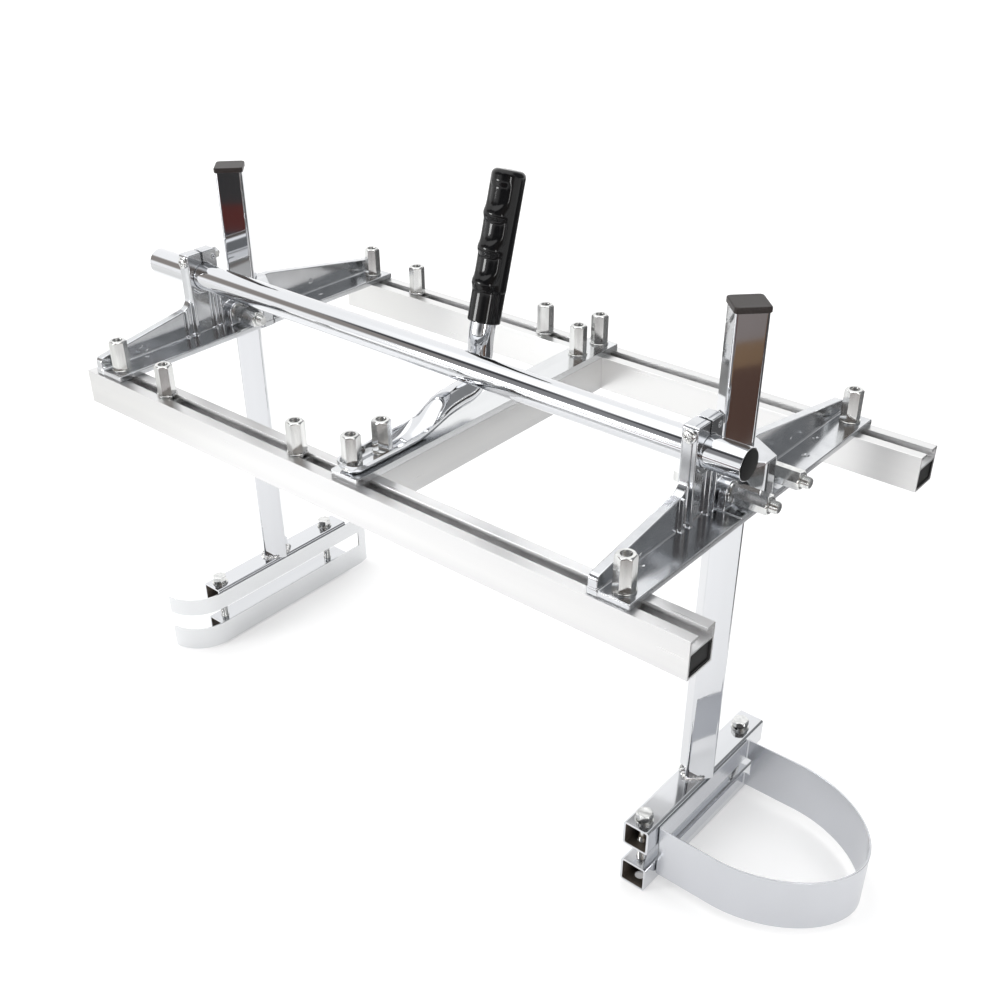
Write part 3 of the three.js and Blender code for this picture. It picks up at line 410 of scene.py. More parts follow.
# End brackets. Die-cast aluminium, polished bright: a long flange across both rails, a web that
# tapers to both ends, a split tower for the push tube, two bosses for the clamp studs and a nose
# with a V pocket for the post. Every inner corner has a fillet and every edge is rounded.
flange_width, flange_thick, flange_half = 36.1, 5.5, 178.15
web_left, web_right, web_end, web_mid, web_level = 1.0, 9.0, 16.0, 41.0, 30.0
tower_y, tower_half, tower_depth, tower_top, tower_flare = -53.0, 17.2, 13.2, 85.4, 10.0
tube_z, tube_bore, tube_ring, panel_top, split_half = 61.7, 12.85, 16.7, 55.35, 1.1
tower_panels, rib_front, panel_sink = ((-66.6, -46.4), (-43.6, -38.6)), (-79.5, -77.0, 12.0), 0.6
pinch_x, pinch_z, pinch_hole, mark_y, mark_radius, mark_floor = 6.6, 78.2, 3.3, -40.4, 2.0, 11.6
stud_y, stud_z, boss_radius, boss_face, stud_hole, spot_radius = 23.7, 18.0, 10.0, 20.0, 5.3, 10.8
nose_end, nose_root, nose_top, nose_lean, nose_reach, pocket_corner = 37.3, 23.4, 41.5, (0.532, 0.847), 25.94, 21.76
pad_half, pad_top, pad_inset = 35.0, 6.3, 0.6
bolt_places, bolt_x, bolt_hole = (-165.5, 163.4), 22.5, 5.2
web_spots = ((-134.0, 15.0), (-128.0, 10.5), (84.0, 17.0))
flange_spots = ((17.0, -134.0), (24.0, 84.0), (16.5, 116.0))
spot_half, spot_deep = 2.3, 0.45
cell_margin, settle_reach, shade_reach = 2.0, 0.05, 0.2
cell, cell_along = 0.78, ((-180.5, -84.0, 1.25), (-84.0, 40.0, 0.66), (40.0, 180.5, 1.25))


def filleted(a, b, radius):
    """Distance from two solids joined with a hollow fillet between them: the lesser distance, less
    what a circle of the radius fills where both are nearer than the radius."""
    return np.maximum(radius, np.minimum(a, b)) - np.hypot(np.maximum(radius - a, 0), np.maximum(radius - b, 0))


def trimmed(a, b, radius):
    """Distance from what two solids share, with the edge between them rounded."""
    return -filleted(-a, -b, radius)


def between(value, low, high):
    """Distance from the slab between two values."""
    return np.abs(value - (low + high) / 2) - (high - low) / 2


def bracket_distance(x, y, z):
    """Distance from the bracket's surface, negative inside, for places set out from its left face,
    mid length and underside. The last number of each step is the radius of its fillet or edge."""
    away = np.abs(y)
    slope = (web_mid - web_end) / (flange_half - web_level)
    web_top = (z - web_mid + slope * np.maximum(away - web_level, 0)) * np.cos(np.arctan(slope))
    flange = trimmed(between(x, 0, flange_width), away - flange_half, 1.2)
    flange = trimmed(flange, between(z, 0, flange_thick), 0.8)
    tower_view = trimmed(np.abs(y - tower_y) - tower_half, z - tower_top, 2.6)
    web_view = filleted(tower_view, trimmed(web_top, away - flange_half, 4.0), tower_flare)
    web = trimmed(web_view, between(x, web_left, web_right), 0.7)
    tower = trimmed(tower_view, between(x, 0, tower_depth), 0.7)
    tube = np.hypot(y - tower_y, z - tube_z)
    rib = np.maximum(between(y, rib_front[0], rib_front[1]), between(x, web_left, rib_front[2]))
    web = np.minimum(web, np.maximum(web_view + panel_sink, rib))
    for y0, y1 in tower_panels:
        panel = np.maximum(trimmed(between(y, y0, y1), web_right - x, 0.6), tube_ring - tube)
        tower = trimmed(tower, -np.maximum(panel, z - panel_top), 0.6)
    stud = np.hypot(away - stud_y, z - stud_z)
    boss = trimmed(np.hypot(away - stud_y, np.maximum(z - stud_z, 0)) - boss_radius,
                   between(x, web_left, boss_face), 1.0)
    nose = trimmed(nose_lean[0] * x + nose_lean[1] * away - nose_reach, x - nose_end, 2.0)
    nose = trimmed(np.maximum(nose, np.maximum(away - nose_root, web_left - x)), z - nose_top, 1.2)
    nose = trimmed(nose, -np.maximum(stud - spot_radius, boss_face - x), 0.8)
    pad = np.maximum(away - pad_half, between(x, web_right, flange_width - pad_inset))
    pad, body = trimmed(pad, z - pad_top, 0.6), web
    for part, radius in ((flange, 1.8), (pad, 0.6), (tower, 1.3), (nose, 1.6), (boss, 1.4)):
        body = filleted(body, part, radius)
    cuts = [(-z, 0.5), ((pocket_corner - x - away) / np.sqrt(2), 0.6), (tube_bore - tube, 0.8),
            (np.minimum(split_half - np.abs(y - tower_y), z - tube_z), 0.25),
            (pinch_hole - np.hypot(x - pinch_x, z - pinch_z), 0.4), (stud_hole - stud, 0.5),
            (np.minimum(mark_radius - np.hypot(y - mark_y, z - pinch_z), x - mark_floor), 0.4)]
    cuts += [(bolt_hole - np.hypot(x - bolt_x, y - place), 0.4) for place in bolt_places]
    cuts += [(np.minimum(spot_half - np.hypot(y - y0, z - z0), x - web_right + spot_deep), 0.3)
             for y0, z0 in web_spots]
    cuts += [(np.minimum(spot_half - np.hypot(x - x0, y - y0), z - flange_thick + spot_deep), 0.3)
             for x0, y0 in flange_spots]
    for cut, radius in cuts:
        body = trimmed(body, cut, radius)
    return body


def slope_of(distance, points, reach):
    """Gradient of a distance at points, from its change over a reach either way along each axis."""
    steps = np.eye(3) * reach
    ahead = [distance(*(points + step).T) - distance(*(points - step).T) for step in steps]
    return np.stack(ahead, -1) / (2 * reach)


def skin_of(distance, axes, pitch):
    """Closed skin where a distance is zero, on the cells between planes along the three axes. Each
    cell that the surface passes through gets one point, the mean of the crossings on its twelve
    edges, moved onto the surface along the gradient in three steps. Each grid edge that crosses the
    surface gives a face between its four cells, turned to look along the gradient. Returns points,
    faces and the outward direction at each point."""
    value = distance(*np.meshgrid(*axes, indexing="ij", sparse=True))
    cells = tuple(size - 1 for size in value.shape)
    total, count, faces = np.zeros((np.prod(cells), 3)), np.zeros(np.prod(cells)), []
    for axis in range(3):
        start, end = np.delete(value, -1, axis), np.delete(value, 0, axis)
        crossed = (start < 0) != (end < 0)
        at = np.argwhere(crossed)
        share = start[crossed] / (start[crossed] - end[crossed])
        where = np.stack([axes[k][at[:, k]] for k in range(3)], -1)
        where[:, axis] += share * np.diff(axes[axis])[at[:, axis]]
        step, other_step = np.delete(np.eye(3, dtype=int), axis, 0)
        ring = [np.ravel_multi_index((at - one * step - two * other_step).T, cells)
                for one, two in ((0, 0), (1, 0), (1, 1), (0, 1))]
        for cell_number in ring:
            np.add.at(total, cell_number, where)
            np.add.at(count, cell_number, 1)
        faces.append(np.stack(ring, -1))
    used = np.flatnonzero(count)
    number = np.full(count.size, -1)
    number[used] = np.arange(len(used))
    points = total[used] / count[used, None]
    for _ in range(3):
        lean = slope_of(distance, points, settle_reach)
        move = distance(*points.T)[:, None] * lean / np.maximum((lean ** 2).sum(1), 0.25)[:, None]
        points = points - np.clip(move, -pitch / 2, pitch / 2)
    outward = slope_of(distance, points, shade_reach)
    outward /= np.maximum(np.linalg.norm(outward, axis=1), 1e-9)[:, None]
    faces = number[np.vstack(faces)]
    look = np.cross(points[faces[:, 2]] - points[faces[:, 0]], points[faces[:, 3]] - points[faces[:, 1]])
    turned_in = (look * outward[faces].mean(1)).sum(1) < 0
    faces[turned_in] = faces[turned_in, ::-1]
    return points, faces, outward


cast_bright = surface("cast_aluminium", ((0.59, 0.602, 0.622), (0.65, 0.662, 0.68)), (0.13, 0.20),
                      grain=700.0, mottle=60.0, relief=0.001, wave=0.03)
planes = [np.arange(-cell_margin, nose_end + cell_margin, cell),
          np.concatenate([np.linspace(a, b, round((b - a) / step), endpoint=False) for a, b, step in cell_along]),
          np.arange(-cell_margin, tower_top + cell_margin, cell)]
points, faces, outward = skin_of(bracket_distance, planes, cell)
for node in ("left_bracket", "right_bracket"):
    low, high = corners(node)
    placed = (points + (low[0], (low[1] + high[1]) / 2, low[2])) / 1000.0
    mesh = bpy.data.meshes.new(node + "_casting")
    mesh.from_pydata(placed.tolist(), [], faces.tolist())
    mesh.shade_smooth()
    mesh.normals_split_custom_set_from_vertices(outward.tolist())
    dress(bpy.data.objects.new(mesh.name, mesh), node, cast_bright, even=False)

# Push tube. Steel tube, chrome plated, clamped in both towers, with a black plastic plug pressed into
# each end. The plug's edge leaves the rim of the tube bare.
tube_radius, tube_wall, tube_break = 12.7, 2.0, 0.35
plug_flange, plug_dome, plug_round, plug_lead, plug_sunk, plug_bare = 2.4, 0.4, 0.5, 1.5, 1.1, 0.9


def turned(axis, centre, profile, count=72, flats=None, phase=0.0):
    """Skin turned about an axis from rows of radius and distance along it. Where flats are given the
    radius is cut to a hexagon: half the flats over the cosine of the angle from a flat's middle. The
    phase turns the whole skin. A radius may be a whole row of values, one for each angle."""
    angle = np.arange(count) * 2 * np.pi / count
    radius = np.stack([np.broadcast_to(row[0], count) for row in profile])
    along = np.array([row[1] for row in profile], float)[:, None]
    if flats:
        radius = np.minimum(radius, flats / 2 / np.cos((angle + np.pi / 6) % (np.pi / 3) - np.pi / 6))
    a, b = centre[0] + radius * np.cos(angle + phase), centre[1] + radius * np.sin(angle + phase)
    return skin(set_out(axis, a, b, along))


def broken(inner, outer, low, high, over, along):
    """Rows from a section's inner low corner round its outer side to its inner high corner, with both
    outer edges broken by a length over the face and one along the side."""
    return [(inner, low), (outer - over, low), (outer, low + along),
            (outer, high - along), (outer - over, high), (inner, high)]


def ring_of(axis, centre, profile, count=72, flats=None):
    """Skin turned as above from a profile that closes on itself."""
    points, blocks = turned(axis, centre, profile, count, flats)
    return points, skin(points.reshape(len(profile), count, 3), joined=True)[1]


chrome = surface("chrome_plate", ((0.66, 0.67, 0.69), (0.71, 0.72, 0.74)), (0.035, 0.075),
                 stretch=(0.05, 1.0, 1.0), grain=300.0, mottle=18.0)
low, high = corners("push_tube")
tube_centre = middle("push_tube", "x")
inner, outer = tube_radius - tube_wall, tube_radius
walls = broken(inner + tube_break, outer, low[0], high[0], tube_break, tube_break)
walls += [(inner, high[0] - tube_break), (inner, low[0] + tube_break)]
shape("push_tube", "drawn", [ring_of("x", tube_centre, walls, 128)], chrome, sharp=50)
for node in ("push_tube_plug_left", "push_tube_plug_right"):
    face, deep, inward = plug_ends(node)
    seat_x, face, flange_radius = face + inward * plug_flange, face + inward * plug_sunk, outer - plug_bare
    rows = [(0.0, deep), (inner - plug_lead / 2, deep), (inner, deep - inward * plug_lead), (inner, seat_x),
            (flange_radius, seat_x), (flange_radius, face + inward * (plug_dome + plug_round))]
    rows += [(flange_radius - plug_round * (1 - np.sin(turn)),
              face + inward * (plug_dome + plug_round * (1 - np.cos(turn)))) for turn in np.linspace(np.pi / 2, 0, 7)]
    rows += [(share * (flange_radius - plug_round), face + inward * plug_dome * share ** 2)
             for share in (0.9, 0.7, 0.4, 0.15, 0.0)]
    shape(node, "moulded", [turned("x", tube_centre, rows)], black_plastic)

# Pinch screws and nuts. Zinc plated steel: a domed cross-head screw through both halves of a tower,
# and a hexagon nut with its corners chamfered on both faces.
zinc = surface("zinc_plate", ((0.62, 0.625, 0.62), (0.74, 0.745, 0.735)), (0.10, 0.22), stretch=(1.0, 1.0, 0.12),
               grain=900.0, mottle=200.0, relief=0.0015)
screw_radius, screw_thread, screw_pitch, screw_length = 3.0, 0.5, 1.0, 12.0
head_radius, head_height, head_rim = 5.6, 3.6, 0.9
cross_length, cross_width, cross_depth, cross_end, cross_slope = 3.0, 0.75, 1.7, 0.8, 0.5
pinch_flats, hex_cosine, thread_turns = 10.0, np.cos(np.pi / 6), 8


def threaded(radius, depth, pitch, start, end, chamfer, count=36):
    """Rows for a threaded length: the radius less the depth times a triangle wave that climbs one
    pitch in each turn, cut at the end by a cone."""
    angle = np.arange(count) / count
    step = pitch / thread_turns
    rows = []
    for along in np.arange(0.0, abs(end - start) + step / 2, step):
        wave = 1 - np.abs(2 * ((along / pitch - angle) % 1.0) - 1)
        cone = radius - np.maximum(0.0, along - (abs(end - start) - chamfer))
        rows.append((np.minimum(radius - depth * wave, cone), start + np.sign(end - start) * along))
    return rows


def cone(radius, wider, start, rise, shares=(0.34, 0.67, 1.0)):
    """Rows on a straight slope: the radius plus a share of what it widens by, at the start plus the
    same share of the rise."""
    return [(radius + share * wider, start + share * rise) for share in shares]


def chamfered_nut(axis, centre, low, high, flats, bore, corner_cut):
    """Hexagon nut as a closed ring: bore, and both faces turned off at 30 degrees at the corners."""
    foot, edge = flats / 2 - 0.2, 0.4
    wider, rise = flats / 2 / hex_cosine - flats / 2 + 0.3, corner_cut * np.tan(np.radians(30))
    rows = [(bore + edge, low), (foot, low)] + cone(foot, wider, low, rise)
    rows += cone(foot, wider, high, -rise)[::-1] + [(foot, high), (bore + edge, high)]
    return ring_of(axis, centre, rows + [(bore, high - edge), (bore, low + edge)], flats=flats)


for side in ("left", "right"):
    node = side + "_pinch_screw"
    low, high = corners(node)
    centre = middle(node, "y")
    seat_y = low[1] + head_height
    spread = np.linspace(0, 1, 15)[:, None] * np.pi / 2
    angle = np.arange(72) * 2 * np.pi / 72
    thread = threaded(screw_radius, screw_thread, screw_pitch, high[1] - screw_length, high[1], 0.8, 72)
    rows = [(0.0, high[1])] + thread[::-1]
    rows += [(screw_radius, seat_y), (head_radius, seat_y), (head_radius, seat_y - head_rim)]
    points, blocks = turned("y", centre, rows, 72)
    domed, rise = head_radius * np.cos(spread), (head_height - head_rim) * np.sin(spread) ** 0.8
    across, up = domed * np.cos(angle), domed * np.sin(angle)
    longer, shorter = np.maximum(np.abs(across), np.abs(up)), np.minimum(np.abs(across), np.abs(up))
    fade = np.clip((cross_length - longer) / cross_end, 0, 1)
    cross = fade * np.clip((cross_width + 0.4 - shorter) / cross_slope, 0, 1) * cross_depth
    dome, rings = skin(set_out("y", centre[0] + across, centre[1] + up, seat_y - head_rim - rise + cross))
    shape(node, "turned", [(points, blocks[:2]), (dome, [rings[0], rings[2]])], zinc)
    node = side + "_pinch_nut"
    low, high = corners(node)
    nut = chamfered_nut("y", middle(node, "y"), low[1], high[1], pinch_flats, screw_radius + 0.1, 1.2)
    shape(node, "pressed", [nut], zinc)

# Long nuts in the rail slots. Zinc plated hexagon bar, chamfered on top and threaded from above, on a
# washer and a T bolt whose square head is held under the slot's lips.
nut_flats, nut_chamfer, washer_radius, washer_edge, washer_thick, nut_length = 14.2, 1.1, 9.0, 0.3, 1.8, 27.4
bore_radius, bore_depth, bore_pitch, bore_thread, stack = 3.9, 15.0, 1.5, 0.5, 32.0
nut_turns = (2, -5, 4, 9, -3, 1, 6, -7, -2, 5, 3, -4)
bolt_head_half, bolt_head_thick, bolt_head_edge, bolt_head_corner, bolt_radius = 9.5, 6.2, 0.5, 1.2, 4.9
nut_wide = nut_flats / 2 / hex_cosine


def long_nut(axis, centre, seat, end, bored, phase):
    """Hexagon bar on a washer, its far end turned off at 30 degrees at the corners. A bored one has
    a blind threaded hole from that end."""
    way = np.sign(end - seat)
    foot = seat + way * washer_thick
    washer = broken(0.0, washer_radius, seat, foot, washer_edge, way * washer_edge)
    body = [(0.0, foot), (nut_flats / 2 - 0.1, foot)] + cone(nut_flats / 2 - 0.1, 1.5, foot, way * 0.6)
    body += cone(nut_wide + 0.2, -(nut_chamfer + 0.7), end - way * 1.5, way * 1.5, np.linspace(0, 1, 6))
    if bored:
        floor = end - way * bore_depth
        thread = threaded(-bore_radius, bore_thread, bore_pitch, end - way * 0.9, floor, 0.0, 72)
        body += [(bore_radius + 0.5, end)] + [(-radius, along) for radius, along in thread]
        body += [(bore_radius, floor), (0.0, floor - way * 1.5)]
    else:
        body.append((0.0, end))
    return [turned(axis, centre, washer), turned(axis, centre, body, 72, nut_flats, phase)]


# Near black for the inside of each long nut's threaded bore: painted shade, where little light reaches down the hole.
thread_painted_shade = surface("thread_in_shade", ((0.012, 0.012, 0.011), (0.03, 0.03, 0.028)), (0.35, 0.5), grain=900.0)
slot_nuts = [side + "_slot_nut_" + end for side in ("left", "right") for end in ("front", "rear")]
slot_nuts += ["free_nut_" + end + "_" + side for end in ("front", "rear") for side in ("left", "right")]
slot_nuts += ["plate_nut_%d" % number for number in (1, 2, 3, 4)]
for node, nut_turn in zip(slot_nuts, nut_turns):
    low, high = corners(node)
    centre = middle(node, "z")
    seat = high[2] - stack
    head_top = low[2] + bolt_head_thick
    outline = eased(rectangle((0, 0), (0, 0), -bolt_head_half), bolt_head_corner, 3)
    head = skin([set_out("z", *(centre + outline * share).T, at) for share, at in (
        (0.95, low[2]), (1.0, low[2] + bolt_head_edge), (1.0, head_top - bolt_head_edge), (0.95, head_top))])
    shank = [(0.0, head_top - 1.0), (bolt_radius, head_top - 1.0), (bolt_radius, seat + 1.0), (0.0, seat + 1.0)]
    phase = np.arctan2(*(1000.0 * camera_place[1::-1] - centre[::-1])) + np.radians(nut_turn)
    body = long_nut("z", centre, seat, seat + washer_thick + nut_length, True, phase)
    nut = shape(node, "turned", body + [head, turned("z", centre, shank, 36)], zinc)
    # Faces within the bore's radius, higher than 4 mm over the seat, take the painted shade.
    second_finish(nut, thread_painted_shade,
                  lambda at: (np.hypot(*(at[:, :2] - centre).T) < bore_radius + 0.05) & (at[:, 2] > seat + 4.0))

# Cross plate. Flat bar of bright aluminium across both rails, its edges broken, drilled for the four
# bolts that hold the handle and the beam.
plate_corner, plate_hole, plate_edge = 1.5, 5.2, 0.4
bright_bar = surface("bright_bar", ((0.66, 0.67, 0.68), (0.74, 0.75, 0.76)), (0.14, 0.24),
                     stretch=(1.0, 0.05, 1.0), relief=0.003)
low, high = corners("cross_plate")
circle = np.stack([np.cos(np.arange(32) * np.pi / 16), np.sin(np.arange(32) * np.pi / 16)], -1)
plan = [eased(rectangle(low[:2], high[:2]), plate_corner, 4)]
plan += [middle("plate_nut_%d" % number, "z") + circle * plate_hole for number in (1, 2, 3, 4)]
shape("cross_plate", "sawn", [prism("z", plan, low[2], high[2])], bright_bar, bevel=plate_edge)

# Handle tube. Chrome plated steel tube: pressed flat into a trough with turned-up rims where it is
# bolted to the beam, then round, bent up behind the push tube to the grip.
plate_top, cross_x, trough_front = high[2], (low[0] + high[0]) / 2, corners("handle_tube")[0][1]
trough_half, trough_floor, trough_rim, trough_side = 13.2, 2.6, 9.0, 2.4
floor_share, lip_radius, wall_width = 0.4, 10.5, 7.0
handle_radius, grip_tilt, grip_run, grip_height, grip_base = 11.1, np.radians(16.1), 169.8, 80.5, 6.1
flat_share, round_share, grip_cover, grip_lead = 0.389, 0.695, 100.0, 13.0
bends = np.array([(0, 0), (0.194, 0), (0.365, 0), (0.436, 0.012), (0.489, 0.04), (0.542, 0.085), (0.589, 0.134),
                  (0.63, 0.175), (0.677, 0.213), (0.771, 0.242), (0.86, 0.257), (0.913, 0.32), (0.948, 0.451),
                  (0.967, 0.616)])
grip_foot = np.array([trough_front + grip_run, plate_top - grip_base + grip_height])
grip_way = np.array([np.sin(grip_tilt), np.cos(grip_tilt)])


def smooth_route(stops, count):
    """Places and unit directions at equal steps along a curve through all stops. Between two stops it
    is a cubic whose end slopes come from the neighbours, weighted by the square roots of the gaps."""
    stops = np.vstack([2 * stops[0] - stops[1], stops, 2 * stops[-1] - stops[-2]])
    gap = np.linalg.norm(np.diff(stops, axis=0), axis=1) ** 0.5
    share = np.linspace(0, len(stops) - 3, 60 * (len(stops) - 3) + 1)
    first = np.minimum(share.astype(int), len(stops) - 4)
    t = (share - first)[:, None]
    p0, p1, p2, p3 = (stops[first + k] for k in range(4))
    g0, g1, g2 = (gap[first + k][:, None] for k in range(3))
    leave = g1 * ((p1 - p0) / g0 - (p2 - p0) / (g0 + g1) + (p2 - p1) / g1)
    arrive = g1 * ((p2 - p1) / g1 - (p3 - p1) / (g1 + g2) + (p3 - p2) / g2)
    square, cube = 3 * (p2 - p1) - 2 * leave - arrive, 2 * (p1 - p2) + leave + arrive
    curve = p1 + leave * t + square * t ** 2 + cube * t ** 3
    length = np.append(0, np.cumsum(np.linalg.norm(np.diff(curve, axis=0), axis=1)))
    even = np.linspace(0, length[-1], count)
    places = np.stack([np.interp(even, length, curve[:, k]) for k in range(2)], -1)
    ways = np.gradient(places, axis=0)
    return places, ways / np.linalg.norm(ways, axis=1)[:, None]


def handle_loops(count=150, half=36):
    """Sections of the tube along its route. Each blends from a trough to a circle by a smooth step on
    the share of the run. Near the edge of the trough's plan, which is rounded at the front, its two
    faces climb from floor to rim on a quarter of an ellipse of the distance from that edge."""
    floor_z = plate_top + trough_floor / 2
    rise = grip_foot[1] - floor_z
    route = [bends * (grip_run, rise) + (trough_front, floor_z)]
    route += [[grip_foot + along * grip_way] for along in (-grip_lead, 0.0, grip_cover / 2, grip_cover)]
    places, ways = smooth_route(np.vstack(route), count)
    back = np.clip(((places[:, 0] - trough_front) / grip_run - flat_share) / (round_share - flat_share), 0, 1)
    blend = np.where(places[:, 1] > grip_foot[1], 1.0, back ** 2 * (3 - 2 * back))[:, None]
    rest = plate_top + (trough_floor + (2 * handle_radius - trough_floor) * blend[:, 0]) / 2
    share = (np.arange(half) + 0.5) / half
    angle = np.pi * np.concatenate([share - 1, share])
    t = np.concatenate([2 * share - 1, 1 - 2 * share]) / (1 - 1 / half)
    upper = np.concatenate([np.zeros(half), np.ones(half)])
    front = places[:, :1] - trough_front
    short = np.maximum(lip_radius - front, 0)
    side = trough_half - upper * trough_side * np.clip(front / trough_side, 0, 1)
    limit = side - lip_radius + np.sqrt(lip_radius ** 2 - short ** 2)
    flat = 1 - wall_width / trough_half
    climb = np.clip((np.abs(t) - floor_share) / (1 - floor_share), 0, 1) * np.pi / 2
    fan = np.where(np.abs(t) < floor_share, np.abs(t) / floor_share * flat, flat + (1 - flat) * np.sin(climb))
    across = np.sign(t) * fan * limit
    past = np.maximum(np.abs(across) - (trough_half - lip_radius), 0)
    inward = np.where(short > 0, lip_radius - np.hypot(short, past), trough_half - np.abs(across))
    inward = np.minimum(inward, trough_half - np.abs(across))
    inward = np.clip((inward - upper * trough_side) / (wall_width - upper * trough_side / 2), 0, 1)
    floor = (2 * upper - 1) * trough_floor / 2
    rim = trough_rim - trough_floor / 2
    up = floor + (rim - floor) * (1 - np.sqrt(1 - (1 - inward) ** 2))
    a = across * (1 - blend) + handle_radius * np.cos(angle) * blend
    b = up * (1 - blend) + handle_radius * np.sin(angle) * blend
    z = np.maximum(places[:, 1], rest)[:, None]
    return np.stack([cross_x - a, places[:, :1] - b * ways[:, 1:], z + b * ways[:, :1]], -1)


chrome_bent = surface("chrome_bent", ((0.62, 0.63, 0.65), (0.70, 0.71, 0.73)), (0.04, 0.09),
                      grain=300.0, mottle=45.0, wave=0.12)
shape("handle_tube", "pressed", [skin(handle_loops())], chrome_bent, sharp=50)

# Handle grip. Glossy black PVC dipped over the end of the tube: a plain sleeve below, then three long
# finger hollows with narrow rises between them on the front side only, and a rounded top.
grip_length, grip_radius, sleeve_inset, top_radius, foot_edge = 123.5, 14.3, 0.25, 5.0, 1.0
rise_first, rise_pitch, rise_count, rise_height, rise_width = 32.5, 28.0, 3, 1.9, 5.0
rise_edge, rise_fade = np.radians(70.0), np.radians(40.0)
scoop_deep, scoop_reach, scoop_crest, scoop_ramp = 1.4, np.radians(54.0), np.radians(22.0), 7.0
scoop_delay, scoop_narrow = 0.2, 0.42


def eased_step(value):
    """Smooth step: three times the square less twice the cube, from 0 to 1."""
    value = np.clip(value, 0, 1)
    return value ** 2 * (3 - 2 * value)


def end_arc(distance, radius):
    """What an edge arc takes off the radius at a distance from the end."""
    return radius - np.sqrt(np.clip(radius ** 2 - np.clip(radius - distance, 0, radius) ** 2, 0, None))


def grip_loops(rings=260, count=96):
    """Sections square to the grip. Each rise adds its height times a bell of the distance from its
    middle, faded out towards the back. Between rises a scoop takes its depth off, up to a crest on
    each side, which is drawn in towards the scoop's lower end. Both ends turn in on an arc."""
    along = np.concatenate([np.linspace(0, grip_length, rings),
                            grip_length - top_radius * (1 - np.sin(np.linspace(0, np.pi / 2, 14))[1:-1]),
                            foot_edge * (1 - np.cos(np.linspace(0, np.pi / 2, 6)))[1:-1]])
    along = np.sort(along)[:, None]
    angle = (np.arange(count) * 2 * np.pi / count)[None]
    place = (along - rise_first) / rise_pitch
    off = np.abs(along - rise_first - rise_pitch * np.clip(np.round(place), 0, rise_count - 1))
    turned_away = np.abs(angle - np.pi / 2)
    rise = rise_height * np.exp(-(off / rise_width) ** 2) * eased_step((rise_edge - turned_away) / rise_fade)
    share = place % 1.0
    inside = (eased_step(share * rise_pitch / scoop_ramp - scoop_delay)
              * eased_step((1 - share) * rise_pitch / scoop_ramp - scoop_delay) * (place > 0) * (place < rise_count))
    reach = scoop_reach * (scoop_narrow + (1 - scoop_narrow) * eased_step(share / scoop_narrow))
    scoop = scoop_deep * inside * eased_step((reach - turned_away) / scoop_crest)
    radius = grip_radius - sleeve_inset * eased_step((rise_first - rise_width - along) / 2.0) + rise - scoop
    radius = radius - end_arc(grip_length - along, top_radius) - end_arc(along, foot_edge)
    a, b = radius * np.cos(angle), radius * np.sin(angle)
    y = grip_foot[0] + along * grip_way[0] - b * grip_way[1]
    z = grip_foot[1] + along * grip_way[1] + b * grip_way[0]
    return np.stack(np.broadcast_arrays(cross_x - a, y, z), -1)


gloss_black = plastic("gloss_black", ((0.0035, 0.0035, 0.004), (0.006, 0.006, 0.0065)), (0.08, 0.11),
                      grain=260.0, relief=0.002, shine=0.28)
loops, up_grip = grip_loops(), np.array([0, *grip_way])
top, foot = loops[-1].mean(0), loops[0].mean(0)
lid = [top + (loops[-1] - top) * share + up_grip * rise for share, rise in ((0.6, 0.25), (0.25, 0.4), (0.0, 0.42))]
mouth = foot + (loops[0] - foot) * handle_radius / (grip_radius - sleeve_inset - foot_edge)
depth = mouth + up_grip * (grip_cover + 0.2)
bore = [np.broadcast_to(depth.mean(0), depth.shape), depth, mouth]
shape("handle_grip", "moulded", [skin(np.array(bore + list(loops) + lid))], gloss_black, sharp=60)

# Height posts. Square steel tube, chrome plated, standing cornerwise in the brackets' pockets and
# welded to the upper jaws. The bead is uneven, thicker at the corners, and plated over.
post_half, post_wall, post_corner, post_bore_corner, bead_size, bead_points = 12.7, 2.0, 2.8, 1.1, 2.6, 220
bead_inset, bead_waves = 0.4, ((0.16, 2.9, 0.0), (0.12, 1.7, 1.0), (0.10, 6.1, 2.0))
chrome_post = surface("chrome_post", ((0.60, 0.61, 0.63), (0.67, 0.68, 0.70)), (0.03, 0.07),
                      stretch=(1.0, 1.0, 0.06), grain=260.0, mottle=14.0, wave=0.05)
weld_bright = surface("weld_bead", ((0.60, 0.60, 0.60), (0.78, 0.78, 0.77)), (0.12, 0.30),
                      grain=1100.0, mottle=300.0, relief=0.03, wave=0.25)


def diamond(centre, half_side, corner, steps=5):
    """Square outline with eased corners, turned to stand on its corner."""
    a, b = eased(rectangle((0, 0), (0, 0), -half_side), corner, steps).T
    return np.stack([centre[0] + (a - b) / np.sqrt(2), centre[1] + (a + b) / np.sqrt(2)], -1)


def weld_bead(centre, base, limits):
    """Bead round a post's foot: a quarter round section carried along the post's outline, its size
    and height waving with the length round, and each point held over the jaw below."""
    outline = diamond(centre, post_half, post_corner, 12)
    step = np.append(0, np.cumsum(np.linalg.norm(np.roll(outline, -1, 0) - outline, axis=1)))
    even = np.linspace(0, step[-1], bead_points, endpoint=False)
    closed = np.vstack([outline, outline[:1]])
    path = np.stack([np.interp(even, step, closed[:, k]) for k in range(2)], -1)
    way = np.roll(path, -1, 0) - np.roll(path, 1, 0)
    way /= np.linalg.norm(way, axis=1)[:, None]
    out = np.stack([way[:, 1], -way[:, 0]], -1)
    ripple = np.ones(bead_points)
    for height, pace, start in bead_waves:
        ripple += height * np.sin(even * pace + start)
    angle = np.linspace(0, np.pi / 2, 7)
    section = [(-0.6, -0.3)] + list(zip(np.cos(angle) ** 0.8, np.sin(angle) ** 0.8)) + [(-0.6, 1.0)]
    loops = []
    for a, b in section:
        place = path + out * (a * bead_size * ripple)[:, None]
        place[:, 0] = np.clip(place[:, 0], *limits)
        loops.append(np.column_stack([place, base + np.maximum(b, -0.1) * bead_size * ripple]))
    return skin(loops, joined=True)


